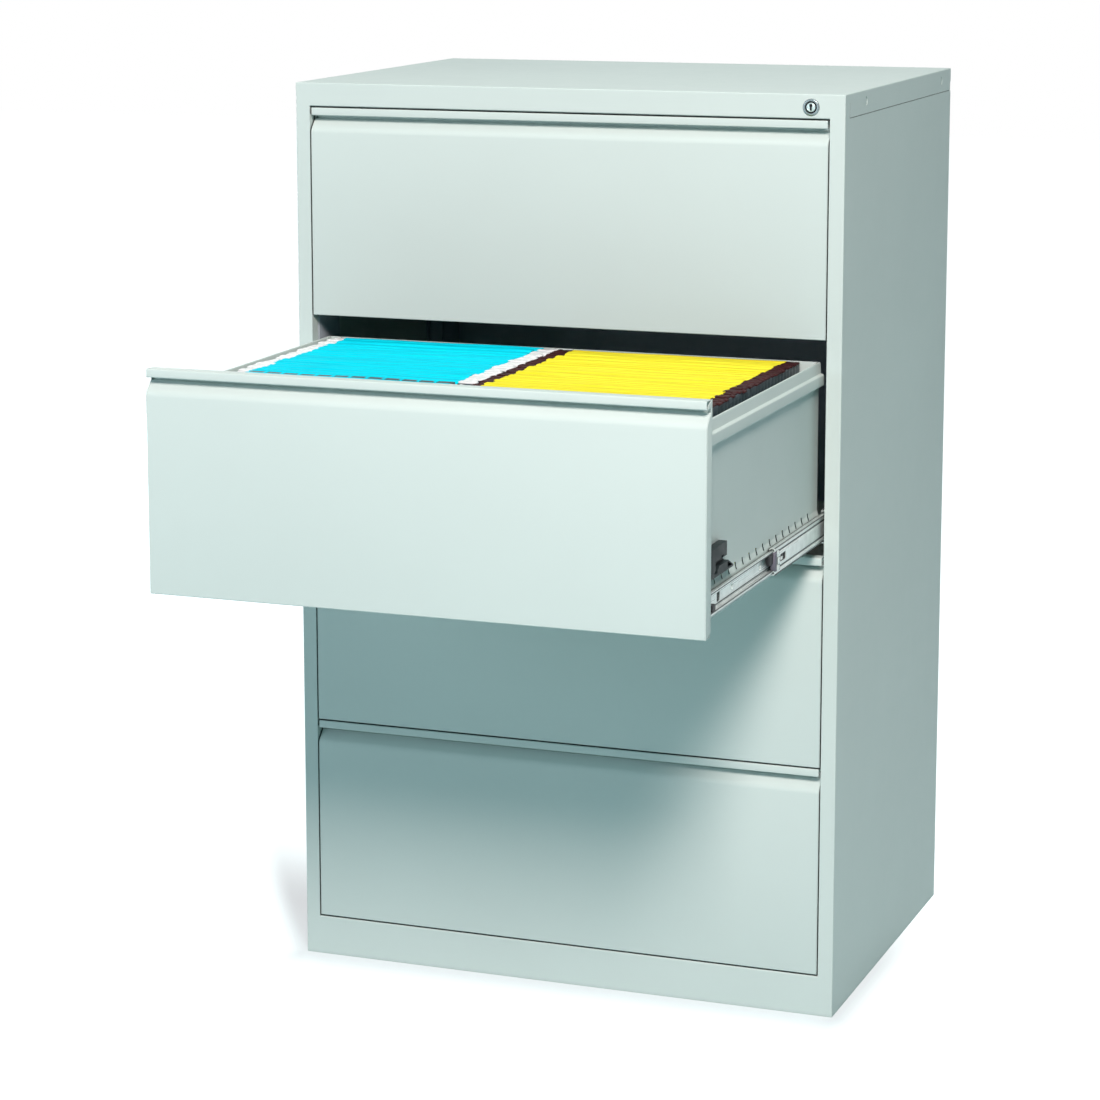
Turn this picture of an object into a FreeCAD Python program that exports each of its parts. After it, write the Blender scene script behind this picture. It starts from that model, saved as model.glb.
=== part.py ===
import FreeCAD, Part
import math
import os

# A four-drawer steel cabinet for two rows of hanging folders, in millimetres.
# X runs across the front, Y from the front to the back, Z up from the floor.
# The origin is on the floor, in the middle of the casing. The second drawer stands open.

# Overall size
cabinet_width = 800.0
cabinet_depth = 590.0
cabinet_height = 1280.0

# Casing, front view
stile_width = 21.0
top_rail_height = 33.0
plinth_height = 57.0
jamb_depth = 20.0
carcass_sheet = 1.2
carcass_bend = 0.8
edge_radius = 1.6

# Top cover and its seams
cover_side_flange = 32.0
cover_front_band = 12.0
cover_notch_depth = 22.0
cover_rear_flange = 20.0
rail_upstand = 4.0
seam_gap = 1.0
tongue_overlap = 20.0
dimple_diameter = 12.0
dimple_depth = 0.8
dimple_from_top = 15.5
dimple_from_front = 106.0
dimple_from_back = 58.0

# Back and base
rear_return = 25.0
base_frame_height = 40.0
base_frame_sheet = 1.5
base_flange = 25.0
counterweight_width = 640.0
counterweight_depth = 160.0
counterweight_thickness = 14.0
counterweight_from_back = 30.0
flat_clearance = 0.2

# Posts that carry the slides
post_reveal = 2.0
post_width = 70.0
post_flange = 12.0
post_clearance = 0.5
rear_post_from_back = 34.0

# Drawer fronts
drawer_count = 4
open_drawer = 2
open_distance = 522.0
front_gap = 2.0
front_depth = 20.0
drawer_sheet = 1.0
drawer_bend = 0.6
lip_height = 11.0
lip_thickness = 3.5
lip_hem = 6.0
pull_mouth = 5.0
chamfer_size = 15.0
front_bottom_return = 12.0
end_plate_corner_depth = 18.0
end_plate_corner_height = 6.0
end_plate_top_setback = 1.0
liner_inset = 2.0

# Drawer bodies
body_length = 525.0
rim_below_lip = 31.0
rim_slope_drop = 16.0
rim_width = 8.5
rim_skirt = 16.0
rim_bottom_gap = 0.5
skirt_joggle = 2.3
skirt_top = 60.0
skirt_slope = 7.0
floor_level = 14.0
floor_flange = 18.0
floor_clearance = 0.3
floor_bead_count = 4
floor_bead_width = 26.0
floor_bead_height = 5.0
floor_bead_slope = 5.0
back_flange = 12.0

# Row of divider slots along each side
slot_pitch = 30.0
slot_width = 2.6
slot_height = 10.0
slot_first = 54.0
slot_last_from_back = 45.0
slot_level = 54.0

# Telescopic slides, measured outwards from the drawer's skirt
slide_thickness = 12.7
slide_centre = 37.0
slide_sheet = 1.2
slide_lip = 1.6
drawer_member_height = 26.0
drawer_member_width = 7.4
drawer_member_start = 2.0
drawer_member_length = 520.0
middle_member_height = 36.0
middle_member_inner = 2.2
middle_member_outer = 10.0
middle_member_start = 42.0
middle_member_length = 480.0
cabinet_member_height = 46.0
cabinet_member_width = 9.1
cabinet_member_start = 24.0
cabinet_member_length = 520.0
cabinet_member_sheet = 1.5
slide_window_length = 13.0
slide_window_height = 9.0
slide_window_from_end = 14.0
cage_clearance = 0.3
cage_length = 150.0
latch_length = 15.0
latch_thickness = 2.6
latch_overhang = 3.0

# Hanging rails and folders
rail_sheet = 1.5
rail_height = 20.0
rail_below_rim = 12.5
left_rail_gap = 12.0
right_rail_gap = 28.0
centre_channel_width = 22.0
board_end_gap = 15.0
tip_length = 24.0
tip_height = 10.0
tip_thickness = 3.0
tip_hook_drop = 7.0
tip_below_board = 1.0
tip_rail_clearance = 0.4
folder_pitch = 14.6
folder_first_gap = 22.0
folder_last_gap = 19.0
folder_floor_gap = 9.5
folder_ridge = 6.0
folder_ridge_width = 9.0
folder_unevenness = 2.0

# Lock, lock bar and catches
lock_from_side = 47.0
lock_from_top = 17.5
lock_ring_diameter = 23.0
lock_ring_thickness = 2.0
lock_barrel_diameter = 19.0
lock_barrel_length = 28.0
lock_hole_clearance = 0.1
lock_nut = 24.0
lock_nut_thickness = 4.0
plug_diameter = 15.0
plug_clearance = 0.08
plug_proud = 0.4
plug_tail = 4.0
keyhole_height = 9.0
keyhole_width = 2.2
keyhole_depth = 8.0
cam_throw = 8.0
cam_thickness = 3.0
cam_pin_diameter = 5.0
cam_wall = 4.0
cam_pin_past_arm = 1.0
bar_depth = 55.0
bar_width = 16.0
bar_thickness = 3.0
bar_arm_thickness = 3.0
bar_side_gap = 1.0
bar_tab_width = 6.0
bar_slack = 0.4
bar_below_last_tab = 20.0
guide_clearance = 0.5
guide_sheet = 1.5
guide_height = 20.0
guide_above_front_edge = 150.0
arm_height = 22.0
tab_slot_clearance = 0.3
slot_end_room = 1.0
tab_channel_gap = 1.0
catch_start = 3.0
catch_length = 74.0
catch_level = 68.0
catch_height = 38.0
catch_thickness = 11.0
catch_beak_length = 27.0
catch_beak_height = 15.0
catch_beak_tip = 2.0
catch_channel = 8.0
catch_tab_height = 84.0
catch_channel_depth = 6.0

# How far a cut runs past the metal
overcut = 1.0

# Places that follow from the sizes
half_width = cabinet_width / 2
front_y = -cabinet_depth / 2
opening_half = half_width - stile_width
front_half = opening_half - front_gap
opening_height = cabinet_height - top_rail_height - plinth_height
front_height = (opening_height - (drawer_count + 1) * front_gap) / drawer_count
drawer_pitch = front_height + front_gap
post_face = opening_half - post_reveal
skirt_face = post_face - slide_thickness
web_face = skirt_face - skirt_joggle
body_start = front_depth + drawer_sheet
body_end = front_depth + body_length
rim_height = front_height - rim_below_lip
base_top = base_frame_height + carcass_sheet
side_inside = web_face - drawer_sheet
row_half_span = (2 * side_inside - left_rail_gap - right_rail_gap - centre_channel_width) / 4
left_row_centre = -side_inside + left_rail_gap + row_half_span
right_row_centre = side_inside - right_rail_gap - row_half_span
board_half_width = row_half_span - board_end_gap
folder_room = body_length - 2 * drawer_sheet - folder_first_gap - folder_last_gap
folder_count = int(folder_room // folder_pitch) + 1
bar_face = post_face + carcass_sheet + bar_side_gap
lock_x = half_width - lock_from_side
lock_z = cabinet_height - lock_from_top
bar_travel = cam_throw


def block(x0, x1, y0, y1, z0, z1):
    """A box between two corners; depth is counted from the casing's front face."""
    corner = FreeCAD.Vector(x0, front_y + y0, z0)
    return Part.makeBox(x1 - x0, y1 - y0, z1 - z0, corner)


def mirrored(shape):
    """The same shape on the other side of the cabinet."""
    return shape.mirror(FreeCAD.Vector(0, 0, 0), FreeCAD.Vector(1, 0, 0))


def moved(shape, depth, height):
    """A copy shifted along the depth and up."""
    copy = shape.copy()
    copy.translate(FreeCAD.Vector(0, depth, height))
    return copy


def along_x(x0, x1):
    """Places a section drawn in depth and height, to be pulled from x0 to x1."""
    return lambda a, b: FreeCAD.Vector(x0, front_y + a, b), FreeCAD.Vector(x1 - x0, 0, 0)


def along_y(y0, y1):
    """Places a section drawn in X and height, to be pulled from depth y0 to y1."""
    return lambda a, b: FreeCAD.Vector(a, front_y + y0, b), FreeCAD.Vector(0, y1 - y0, 0)


def along_z(z0, z1):
    """Places a section drawn in X and depth, to be pulled from height z0 to z1."""
    return lambda a, b: FreeCAD.Vector(a, front_y + b, z0), FreeCAD.Vector(0, 0, z1 - z0)


def unit(a, b):
    """Direction from a to b in the section's plane."""
    length = math.hypot(b[0] - a[0], b[1] - a[1])
    return ((b[0] - a[0]) / length, (b[1] - a[1]) / length)


def rounded_prism(corners, radii, place):
    """A closed outline with rounded corners, pulled out into a solid."""
    to_space, pull = place
    count = len(corners)
    stretches = []
    for i in range(count):
        here = corners[i]
        into = unit(corners[i - 1], here)
        out = unit(here, corners[(i + 1) % count])
        turn = math.acos(max(-1.0, min(1.0, into[0] * out[0] + into[1] * out[1])))
        if radii[i] <= 0 or turn < 0.01:
            stretches.append((here, None, here))
            continue
        run = radii[i] * math.tan(turn / 2)
        inward = unit((0, 0), (out[0] - into[0], out[1] - into[1]))
        sag = radii[i] / math.cos(turn / 2) - radii[i]
        start = (here[0] - into[0] * run, here[1] - into[1] * run)
        middle = (here[0] + inward[0] * sag, here[1] + inward[1] * sag)
        end = (here[0] + out[0] * run, here[1] + out[1] * run)
        stretches.append((start, middle, end))
    edges = []
    for i in range(count):
        start, middle, end = stretches[i]
        if middle is not None:
            edges.append(Part.Arc(to_space(*start), to_space(*middle), to_space(*end)).toShape())
        following = stretches[(i + 1) % count][0]
        if math.hypot(following[0] - end[0], following[1] - end[1]) > 1e-6:
            edges.append(Part.makeLine(to_space(*end), to_space(*following)))
    return Part.Face(Part.Wire(edges)).extrude(pull)


def prism(corners, place):
    """A closed outline with sharp corners, pulled out into a solid."""
    return rounded_prism(corners, [0] * len(corners), place)


def bent_sheet(path, thickness, place, bends=None):
    """A folded sheet: the metal lies on the right-hand side of the path.

    bends holds the inside radius at each inner point of the path; without it every fold is sharp.
    """
    rights = []
    for a, b in zip(path, path[1:]):
        along = unit(a, b)
        rights.append((along[1], -along[0]))
    bends = bends or [0] * (len(path) - 2)
    offset = [(path[0][0] + thickness * rights[0][0], path[0][1] + thickness * rights[0][1])]
    path_radii = [0]
    offset_radii = [0]
    for i in range(1, len(path) - 1):
        r1, r2 = rights[i - 1], rights[i]
        share = thickness / (1 + r1[0] * r2[0] + r1[1] * r2[1])
        offset.append((path[i][0] + share * (r1[0] + r2[0]), path[i][1] + share * (r1[1] + r2[1])))
        inside = bends[i - 1]
        outside = inside + thickness if inside else 0
        turns_right = r1[0] * r2[1] - r1[1] * r2[0] < 0
        path_radii.append(outside if turns_right else inside)
        offset_radii.append(inside if turns_right else outside)
    offset.append((path[-1][0] + thickness * rights[-1][0], path[-1][1] + thickness * rights[-1][1]))
    path_radii.append(0)
    offset_radii.append(0)
    corners = list(path) + offset[::-1]
    return rounded_prism(corners, path_radii + offset_radii[::-1], place)


def cylinder(radius, start, direction, length):
    """A round bar from a start point; depth is counted from the casing's front face."""
    place = FreeCAD.Vector(start[0], front_y + start[1], start[2])
    return Part.makeCylinder(radius, length, place, FreeCAD.Vector(*direction))


def hexagon(across_flats, centre, place):
    """A six-sided bar around a centre in the section's plane."""
    reach = across_flats / math.sqrt(3)
    corners = []
    for i in range(6):
        angle = math.radians(60 * i)
        corners.append((centre[0] + reach * math.cos(angle), centre[1] + reach * math.sin(angle)))
    return prism(corners, place)


def drawer_level(number):
    """Height of a drawer front's bottom edge above the floor."""
    return cabinet_height - top_rail_height - number * drawer_pitch


def dimple_places():
    """Centres of the dimples in one side flange, as depth and height."""
    height = cabinet_height - dimple_from_top
    return [(dimple_from_front, height), (cabinet_depth - dimple_from_back, height)]


def right_side_panel():
    """Outer skin folded into the rear return, the front stile and its jamb."""
    path = [
        (half_width - rear_return, cabinet_depth),
        (half_width, cabinet_depth),
        (half_width, 0),
        (opening_half, 0),
        (opening_half, jamb_depth),
    ]
    stile_top = cabinet_height - cover_front_band
    skin_top = cabinet_height - cover_side_flange - seam_gap
    bends = [0, edge_radius - carcass_sheet, 0]
    panel = bent_sheet(path, carcass_sheet, along_z(0, stile_top), bends)
    above_skin = block(
        half_width - rear_return - overcut, half_width + overcut,
        cover_notch_depth, cabinet_depth + overcut, skin_top, cabinet_height,
    )
    foot_of_jamb = block(
        opening_half - overcut, opening_half + carcass_sheet,
        carcass_sheet, jamb_depth + overcut, -overcut, base_top,
    )
    panel = panel.cut(above_skin).cut(foot_of_jamb)
    tongue = block(
        half_width - 2 * carcass_sheet, half_width - carcass_sheet,
        jamb_depth, cabinet_depth - 2 * carcass_sheet - flat_clearance,
        skin_top - tongue_overlap, cabinet_height - carcass_sheet,
    )
    return panel.fuse(tongue).removeSplitter()


def cover_rail():
    """Front rail below the cover's front band, turned back and up above the top drawer."""
    bottom = cabinet_height - top_rail_height
    path = [
        (jamb_depth, bottom + rail_upstand),
        (jamb_depth, bottom),
        (0, bottom),
        (0, cabinet_height - cover_front_band),
    ]
    place = along_x(-opening_half, opening_half)
    return bent_sheet(path, carcass_sheet, place, [0, carcass_bend])


def top_cover():
    """Tray-shaped cover whose front flange carries the lock."""
    bottom = cabinet_height - cover_side_flange
    tray = block(-half_width, half_width, 0, cabinet_depth, bottom, cabinet_height)
    top_edges = [edge for edge in tray.Edges if edge.BoundBox.ZMin > cabinet_height - 0.01]
    tray = tray.makeFillet(edge_radius, top_edges)
    tray = tray.cut(block(
        -half_width + carcass_sheet, half_width - carcass_sheet,
        carcass_sheet, cabinet_depth - carcass_sheet,
        bottom - overcut, cabinet_height - carcass_sheet,
    ))
    band_bottom = cabinet_height - cover_front_band
    notch_end = cover_notch_depth + seam_gap
    reach = half_width + overcut
    tray = tray.cut(block(-reach, reach, -overcut, notch_end, bottom - overcut, band_bottom))
    tray = tray.cut(block(
        -reach, reach, cabinet_depth - 2 * carcass_sheet, cabinet_depth + overcut,
        bottom - overcut, cabinet_height - cover_rear_flange,
    ))
    cover = tray.fuse(cover_rail())
    for side in (-1, 1):
        for depth, height in dimple_places():
            face = (side * half_width, depth, height)
            cover = cover.cut(cylinder(dimple_diameter / 2, face, (-side, 0, 0), dimple_depth))
    lock_hole = cylinder(
        lock_barrel_diameter / 2 + lock_hole_clearance, (lock_x, -overcut, lock_z), (0, 1, 0),
        carcass_sheet + 2 * overcut,
    )
    return cover.cut(lock_hole).removeSplitter()


def back_panel():
    """Flat back, held behind the sides' rear returns."""
    half = half_width - carcass_sheet - flat_clearance
    return block(
        -half, half, cabinet_depth - 2 * carcass_sheet, cabinet_depth - carcass_sheet,
        0, cabinet_height - carcass_sheet,
    )


def plinth():
    """Front bottom rail between the stiles, turned back under the lowest drawer."""
    path = [
        (jamb_depth, base_top),
        (jamb_depth, plinth_height),
        (0, plinth_height),
        (0, 0),
    ]
    place = along_x(-opening_half, opening_half)
    return bent_sheet(path[::-1], carcass_sheet, place, [carcass_bend, 0])


def base_frame():
    """Ring of inward channel that the whole cabinet stands on."""
    half = half_width - carcass_sheet - flat_clearance
    front = carcass_sheet + flat_clearance
    back = cabinet_depth - 2 * carcass_sheet
    frame = block(-half, half, front, back, 0, base_frame_height)
    wall = base_frame_sheet
    frame = frame.cut(block(
        -half + wall, half - wall, front + wall, back - wall, wall, base_frame_height - wall))
    return frame.cut(block(
        -half + base_flange, half - base_flange, front + base_flange, back - base_flange,
        -overcut, base_frame_height + overcut,
    ))


def base_pan():
    """Sheet that closes the cabinet under the lowest drawer."""
    half = half_width - carcass_sheet - flat_clearance
    return block(
        -half, half, carcass_sheet + flat_clearance, cabinet_depth - 2 * carcass_sheet,
        base_frame_height, base_top,
    )


def counterweight():
    """Steel slab on the base pan, at the back, against tipping."""
    back = cabinet_depth - counterweight_from_back
    half = counterweight_width / 2
    return block(
        -half, half, back - counterweight_depth, back,
        base_top, base_top + counterweight_thickness,
    )


def post(start, flanged_front):
    """Hat-shaped upright on the right side, from the base pan to below the cover's tongue."""
    wall = half_width - carcass_sheet
    seat = wall - carcass_sheet
    top = cabinet_height - cover_side_flange - seam_gap - tongue_overlap - flat_clearance
    end = start + post_width
    front_end = [(wall, start)]
    if flanged_front:
        front_end = [(seat, start - post_flange), (seat, start)]
    path = front_end + [(post_face, start), (post_face, end), (seat, end), (seat, end + post_flange)]
    return bent_sheet(path, carcass_sheet, along_z(base_top, top))


def tab_slots():
    """Slots in the right front post, one for each tab of the lock bar."""
    half = bar_tab_width / 2 + tab_slot_clearance
    slots = []
    for number in range(1, drawer_count + 1):
        rest = drawer_level(number) + catch_tab_height
        slots.append(block(
            post_face - overcut, post_face + carcass_sheet + overcut,
            bar_depth - half, bar_depth + half,
            rest - bar_travel - half - slot_end_room, rest + half + slot_end_room,
        ))
    return slots


def slide_posts():
    """Four posts; the right front one is slotted for the lock bar's tabs."""
    front_start = jamb_depth + post_clearance
    rear_start = cabinet_depth - rear_post_from_back - post_width
    front = post(front_start, False)
    rear = post(rear_start, True)
    slotted = front.copy()
    for slot in tab_slots():
        slotted = slotted.cut(slot)
    return Part.makeCompound([slotted, rear, mirrored(front), mirrored(rear)])


def channel(inner, outer, height, sheet, lip_side, start, length):
    """A slide member on the right side: a channel with a web, two flanges and small lips.

    inner and outer are counted outwards from the drawer's skirt; lip_side is 1 where the
    channel opens towards the drawer, and -1 where it opens away from it.
    """
    x0 = skirt_face + inner
    x1 = skirt_face + outer
    low = slide_centre - height / 2
    high = slide_centre + height / 2
    if lip_side > 0:
        path = [
            (x0, low + sheet + slide_lip), (x0, low), (x1, low), (x1, high), (x0, high),
            (x0, high - sheet - slide_lip),
        ]
        path = path[::-1]
    else:
        path = [
            (x1 - sheet, low - slide_lip), (x1 - sheet, low), (x0, low), (x0, high),
            (x1 - sheet, high), (x1 - sheet, high + slide_lip),
        ]
    return bent_sheet(path, sheet, along_y(start, start + length))


def slide_window(start):
    """A square window through a slide member's web, behind its front end."""
    y0 = start + slide_window_from_end
    return block(
        skirt_face - overcut, post_face, y0, y0 + slide_window_length,
        slide_centre - slide_window_height / 2, slide_centre + slide_window_height / 2,
    )


def drawer_member():
    """Right drawer member: fixed to the skirt, open outwards."""
    start = front_depth + drawer_member_start
    member = channel(
        0, drawer_member_width, drawer_member_height, slide_sheet, -1, start, drawer_member_length)
    return member.cut(slide_window(start))


def middle_member():
    """Right middle member: travels half as far as the drawer, open towards it."""
    member = channel(
        middle_member_inner, middle_member_outer, middle_member_height, slide_sheet, 1,
        middle_member_start, middle_member_length,
    )
    return member.cut(slide_window(middle_member_start))


def cabinet_member():
    """Right fixed member: on the posts, open towards the drawer."""
    inner = slide_thickness - cabinet_member_width
    return channel(
        inner, slide_thickness, cabinet_member_height, cabinet_member_sheet, 1,
        cabinet_member_start, cabinet_member_length,
    )


def ball_cages():
    """Four strips of caged balls on the right side, above and below the middle member's flanges."""
    travel = body_length / 2
    middle_inside = middle_member_height / 2 - slide_sheet
    drawer_outside = drawer_member_height / 2
    cabinet_inside = cabinet_member_height / 2 - cabinet_member_sheet
    middle_outside = middle_member_height / 2
    inner_x = (
        skirt_face + middle_member_inner + slide_sheet + cage_clearance,
        skirt_face + drawer_member_width - slide_sheet - cage_clearance,
    )
    outer_x = (
        post_face - cabinet_member_width + cabinet_member_sheet + cage_clearance,
        skirt_face + middle_member_outer,
    )
    inner_start = middle_member_start + latch_length + slide_window_length
    outer_start = middle_member_start + travel + cage_clearance
    strips = []
    for up in (-1, 1):
        for xs, near, far, y0 in (
            (inner_x, drawer_outside, middle_inside, inner_start),
            (outer_x, middle_outside, cabinet_inside, outer_start),
        ):
            z = sorted((
                slide_centre + up * (near + cage_clearance),
                slide_centre + up * (far - cage_clearance),
            ))
            strips.append(block(xs[0], xs[1], y0, y0 + cage_length, z[0], z[1]))
    return strips


def front_latch():
    """Retainer on the right middle member's front end, proud of its outer face."""
    x1 = skirt_face + middle_member_outer
    low = slide_centre - middle_member_height / 2
    high = slide_centre + middle_member_height / 2
    wide = latch_length / 2
    corners = [
        (middle_member_start - latch_overhang, low + wide),
        (middle_member_start - latch_overhang, high - wide),
        (middle_member_start, high),
        (middle_member_start + wide / 2, high),
        (middle_member_start + wide / 2, low),
        (middle_member_start, low),
    ]
    room = slide_thickness - cabinet_member_sheet - cage_clearance - middle_member_outer
    return prism(corners, along_x(x1, x1 + min(room, latch_thickness)))


def placed(shape, number, travel):
    """A drawer piece at its drawer's height, pulled forward by its travel."""
    return moved(shape, -travel, drawer_level(number))


def drawer_front():
    """One folded sheet: lip, finger pull, chamfer, face and bottom return, with two end plates."""
    t = drawer_sheet
    top = front_height
    ledge = top - lip_height - pull_mouth
    half = front_half - t
    path = [
        (lip_thickness, top - lip_height + lip_hem),
        (lip_thickness, top - lip_height),
        (0, top - lip_height),
        (0, top),
        (front_depth, top),
        (front_depth, ledge - t),
        (chamfer_size + t / 2, ledge - t),
        (t, ledge - chamfer_size - t / 2),
        (t, t),
        (front_depth - t, t),
        (front_depth - t, front_bottom_return),
    ]
    b = drawer_bend
    sheet = bent_sheet(path, t, along_x(-half, half), [0, b, b, 0, 0, 0, 0, b, 0])
    outline = [
        (0, t),
        (0, ledge - chamfer_size),
        (chamfer_size, ledge),
        (front_depth - t - end_plate_top_setback, top),
        (front_depth, top),
        (front_depth, end_plate_corner_height),
        (front_depth - end_plate_corner_depth, 0),
        (t, 0),
    ]
    plate = prism(outline, along_x(half, front_half))
    return sheet.fuse([plate, mirrored(plate)]).removeSplitter()


def drawer_liner():
    """Flat inner panel that closes the back of the front."""
    half = front_half - liner_inset
    return block(-half, half, front_depth, body_start, liner_inset, front_height - liner_inset)


def drawer_right_side():
    """Side sheet with a rolled rim, a web, a joggled skirt with divider slots and a floor flange."""
    t = drawer_sheet
    rim_out = web_face + rim_width - t
    slope_end = rim_height - rim_slope_drop
    path = [
        (skirt_face - t - floor_flange, floor_level),
        (skirt_face - t, floor_level),
        (skirt_face - t, skirt_top - skirt_slope),
        (side_inside, skirt_top),
        (side_inside, rim_height),
        (rim_out, slope_end),
        (rim_out, slope_end - rim_skirt),
        (web_face + rim_bottom_gap, slope_end - rim_skirt),
    ]
    side = bent_sheet(path, t, along_y(body_start, body_end))
    slots = []
    count = int((body_length - slot_first - slot_last_from_back) // slot_pitch) + 1
    for i in range(count):
        y0 = front_depth + slot_first + i * slot_pitch
        slots.append(block(
            side_inside - overcut, skirt_face + overcut, y0, y0 + slot_width, slot_level, slot_level + slot_height))
    return side.cut(Part.makeCompound(slots))


def drawer_floor():
    """Floor sheet with raised beads, lying on the sides' flanges."""
    half = skirt_face - drawer_sheet - floor_clearance
    flat = floor_level + drawer_sheet
    raised = flat + floor_bead_height
    path = [(-half, flat)]
    spacing = 2 * half / floor_bead_count
    for i in range(floor_bead_count):
        centre = -half + (i + 0.5) * spacing
        foot = floor_bead_width / 2 + floor_bead_slope
        path.append((centre - foot, flat))
        path.append((centre - floor_bead_width / 2, raised))
        path.append((centre + floor_bead_width / 2, raised))
        path.append((centre + foot, flat))
    path.append((half, flat))
    return bent_sheet(path, drawer_sheet, along_y(body_start, body_end - drawer_sheet))


def drawer_back():
    """Back sheet with a flange along each side."""
    front = body_end - back_flange
    path = [
        (-side_inside, front), (-side_inside, body_end), (side_inside, body_end), (side_inside, front),
    ]
    bottom = floor_level + drawer_sheet + floor_bead_height
    return bent_sheet(path, drawer_sheet, along_z(bottom, rim_height))


def hanging_rails():
    """Left rail, double centre rail and right rail, from the inner front panel to the back."""
    top = rim_height - rail_below_rim
    low = top - rail_height
    half = rail_sheet / 2
    foot = rail_height / 2
    run = along_y(body_start, body_end - drawer_sheet)
    rails = []
    left = left_row_centre - row_half_span
    right = right_row_centre + row_half_span
    left_path = [(left - half, top), (left - half, low), (left + foot, low)]
    right_path = [(right - foot, low), (right + half, low), (right + half, top)]
    inner_left = left_row_centre + row_half_span
    inner_right = right_row_centre - row_half_span
    centre_path = [
        (inner_left - half, top), (inner_left - half, low),
        (inner_right + half, low), (inner_right + half, top),
    ]
    for path in (left_path, centre_path, right_path):
        rails.append(bent_sheet(path[::-1], rail_sheet, run))
    return Part.makeCompound(rails)


def folder_boards(centre):
    """One row of filled folders: a block whose top is a row of board edges."""
    rail_top = rim_height - rail_below_rim
    top = rail_top + tip_height
    bottom = floor_level + drawer_sheet + floor_bead_height + folder_floor_gap
    outline = [(folder_depth(0) - folder_ridge_width, bottom)]
    for i in range(folder_count):
        middle = folder_depth(i)
        crest = top + uneven(i)
        outline.append((middle - folder_pitch / 2, top - folder_ridge))
        outline.append((middle - folder_ridge_width / 2, crest))
        outline.append((middle + folder_ridge_width / 2, crest))
    outline.append((folder_depth(folder_count - 1) + folder_ridge_width, top - folder_ridge))
    outline.append((folder_depth(folder_count - 1) + folder_ridge_width, bottom))
    place = along_x(centre - board_half_width, centre + board_half_width)
    return prism(outline, place)


def folder_depth(index):
    """Depth of one folder's middle."""
    return body_start + folder_first_gap + index * folder_pitch


def uneven(index):
    """How much higher or lower than the row one folder stands."""
    return folder_unevenness * 0.5 * math.sin(index * 2.4)


def folder_tips(centre):
    """The hooked ends of each folder's bar, which hang over the rails."""
    rail_top = rim_height - rail_below_rim
    seat = rail_top + tip_rail_clearance
    over = row_half_span + rail_sheet / 2 + tip_rail_clearance
    end = board_half_width + tip_length
    low = rail_top - tip_hook_drop
    tips = []
    for i in range(folder_count):
        top = rail_top + tip_height + uneven(i) - tip_below_board
        section = [
            (board_half_width, seat), (over, seat), (end, low), (end, top), (board_half_width, top),
        ]
        y0 = folder_depth(i) - tip_thickness / 2
        for side in (-1, 1):
            outline = [(centre + side * a, b) for a, b in section]
            tips.append(prism(outline, along_y(y0, y0 + tip_thickness)))
    return Part.makeCompound(tips)


def drawer_catch():
    """Moulded catch on the drawer's right side; the lock bar's tab runs in its channel."""
    start = body_start + catch_start
    end = start + catch_length
    low = catch_level
    high = catch_level + catch_height
    outline = [
        (start, low), (start, high), (end, high), (end, low + catch_beak_height),
        (end + catch_beak_length, low + catch_beak_tip), (end + catch_beak_length, low),
    ]
    catch = prism(outline, along_x(web_face, web_face + catch_thickness))
    half = catch_channel / 2
    outside = web_face + catch_thickness - catch_channel_depth
    level = catch_tab_height
    channel_cut = block(
        outside, post_face, bar_depth - half, end + catch_beak_length + overcut, level - half, level + half)
    pocket = block(
        outside, post_face, bar_depth - half, bar_depth + half,
        level - bar_travel - half, level + half,
    )
    return catch.cut(channel_cut).cut(pocket)


def lock_housing():
    """Ring, barrel and nut of the lock in the top rail, and the guides of the lock bar."""
    ring = cylinder(
        lock_ring_diameter / 2, (lock_x, -lock_ring_thickness, lock_z), (0, 1, 0), lock_ring_thickness)
    barrel = cylinder(lock_barrel_diameter / 2, (lock_x, 0, lock_z), (0, 1, 0), lock_barrel_length)
    nut_place = along_y(carcass_sheet, carcass_sheet + lock_nut_thickness)
    nut = hexagon(lock_nut, (lock_x, lock_z), nut_place)
    bore = cylinder(
        plug_diameter / 2 + plug_clearance, (lock_x, -lock_ring_thickness - overcut, lock_z),
        (0, 1, 0), lock_barrel_length + lock_ring_thickness + 2 * overcut,
    )
    body = ring.fuse([barrel, nut]).cut(bore).removeSplitter()
    return Part.makeCompound([body] + bar_guides())


def bar_guides():
    """Bent straps inside the right front post, round the lock bar, one above every second drawer."""
    foot = post_face + carcass_sheet
    near = bar_depth - bar_width / 2 - guide_clearance
    far = bar_depth + bar_width / 2 + guide_clearance
    over = bar_face + bar_thickness + guide_clearance
    path = [(foot, near), (over, near), (over, far), (foot, far)]
    guides = []
    for number in range(drawer_count, 0, -2):
        low = drawer_level(number) + guide_above_front_edge
        guides.append(bent_sheet(path, guide_sheet, along_z(low, low + guide_height)))
    return guides


def lock_plug():
    """Turning plug with its keyhole and the tail that carries the cam."""
    front = -lock_ring_thickness - plug_proud
    length = lock_barrel_length - front + plug_tail
    plug = cylinder(plug_diameter / 2, (lock_x, front, lock_z), (0, 1, 0), length)
    half = keyhole_width / 2
    keyhole = block(
        lock_x - half, lock_x + half, front - overcut, front + keyhole_depth,
        lock_z - keyhole_height / 2, lock_z + keyhole_height / 2,
    )
    return plug.cut(keyhole)


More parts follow.
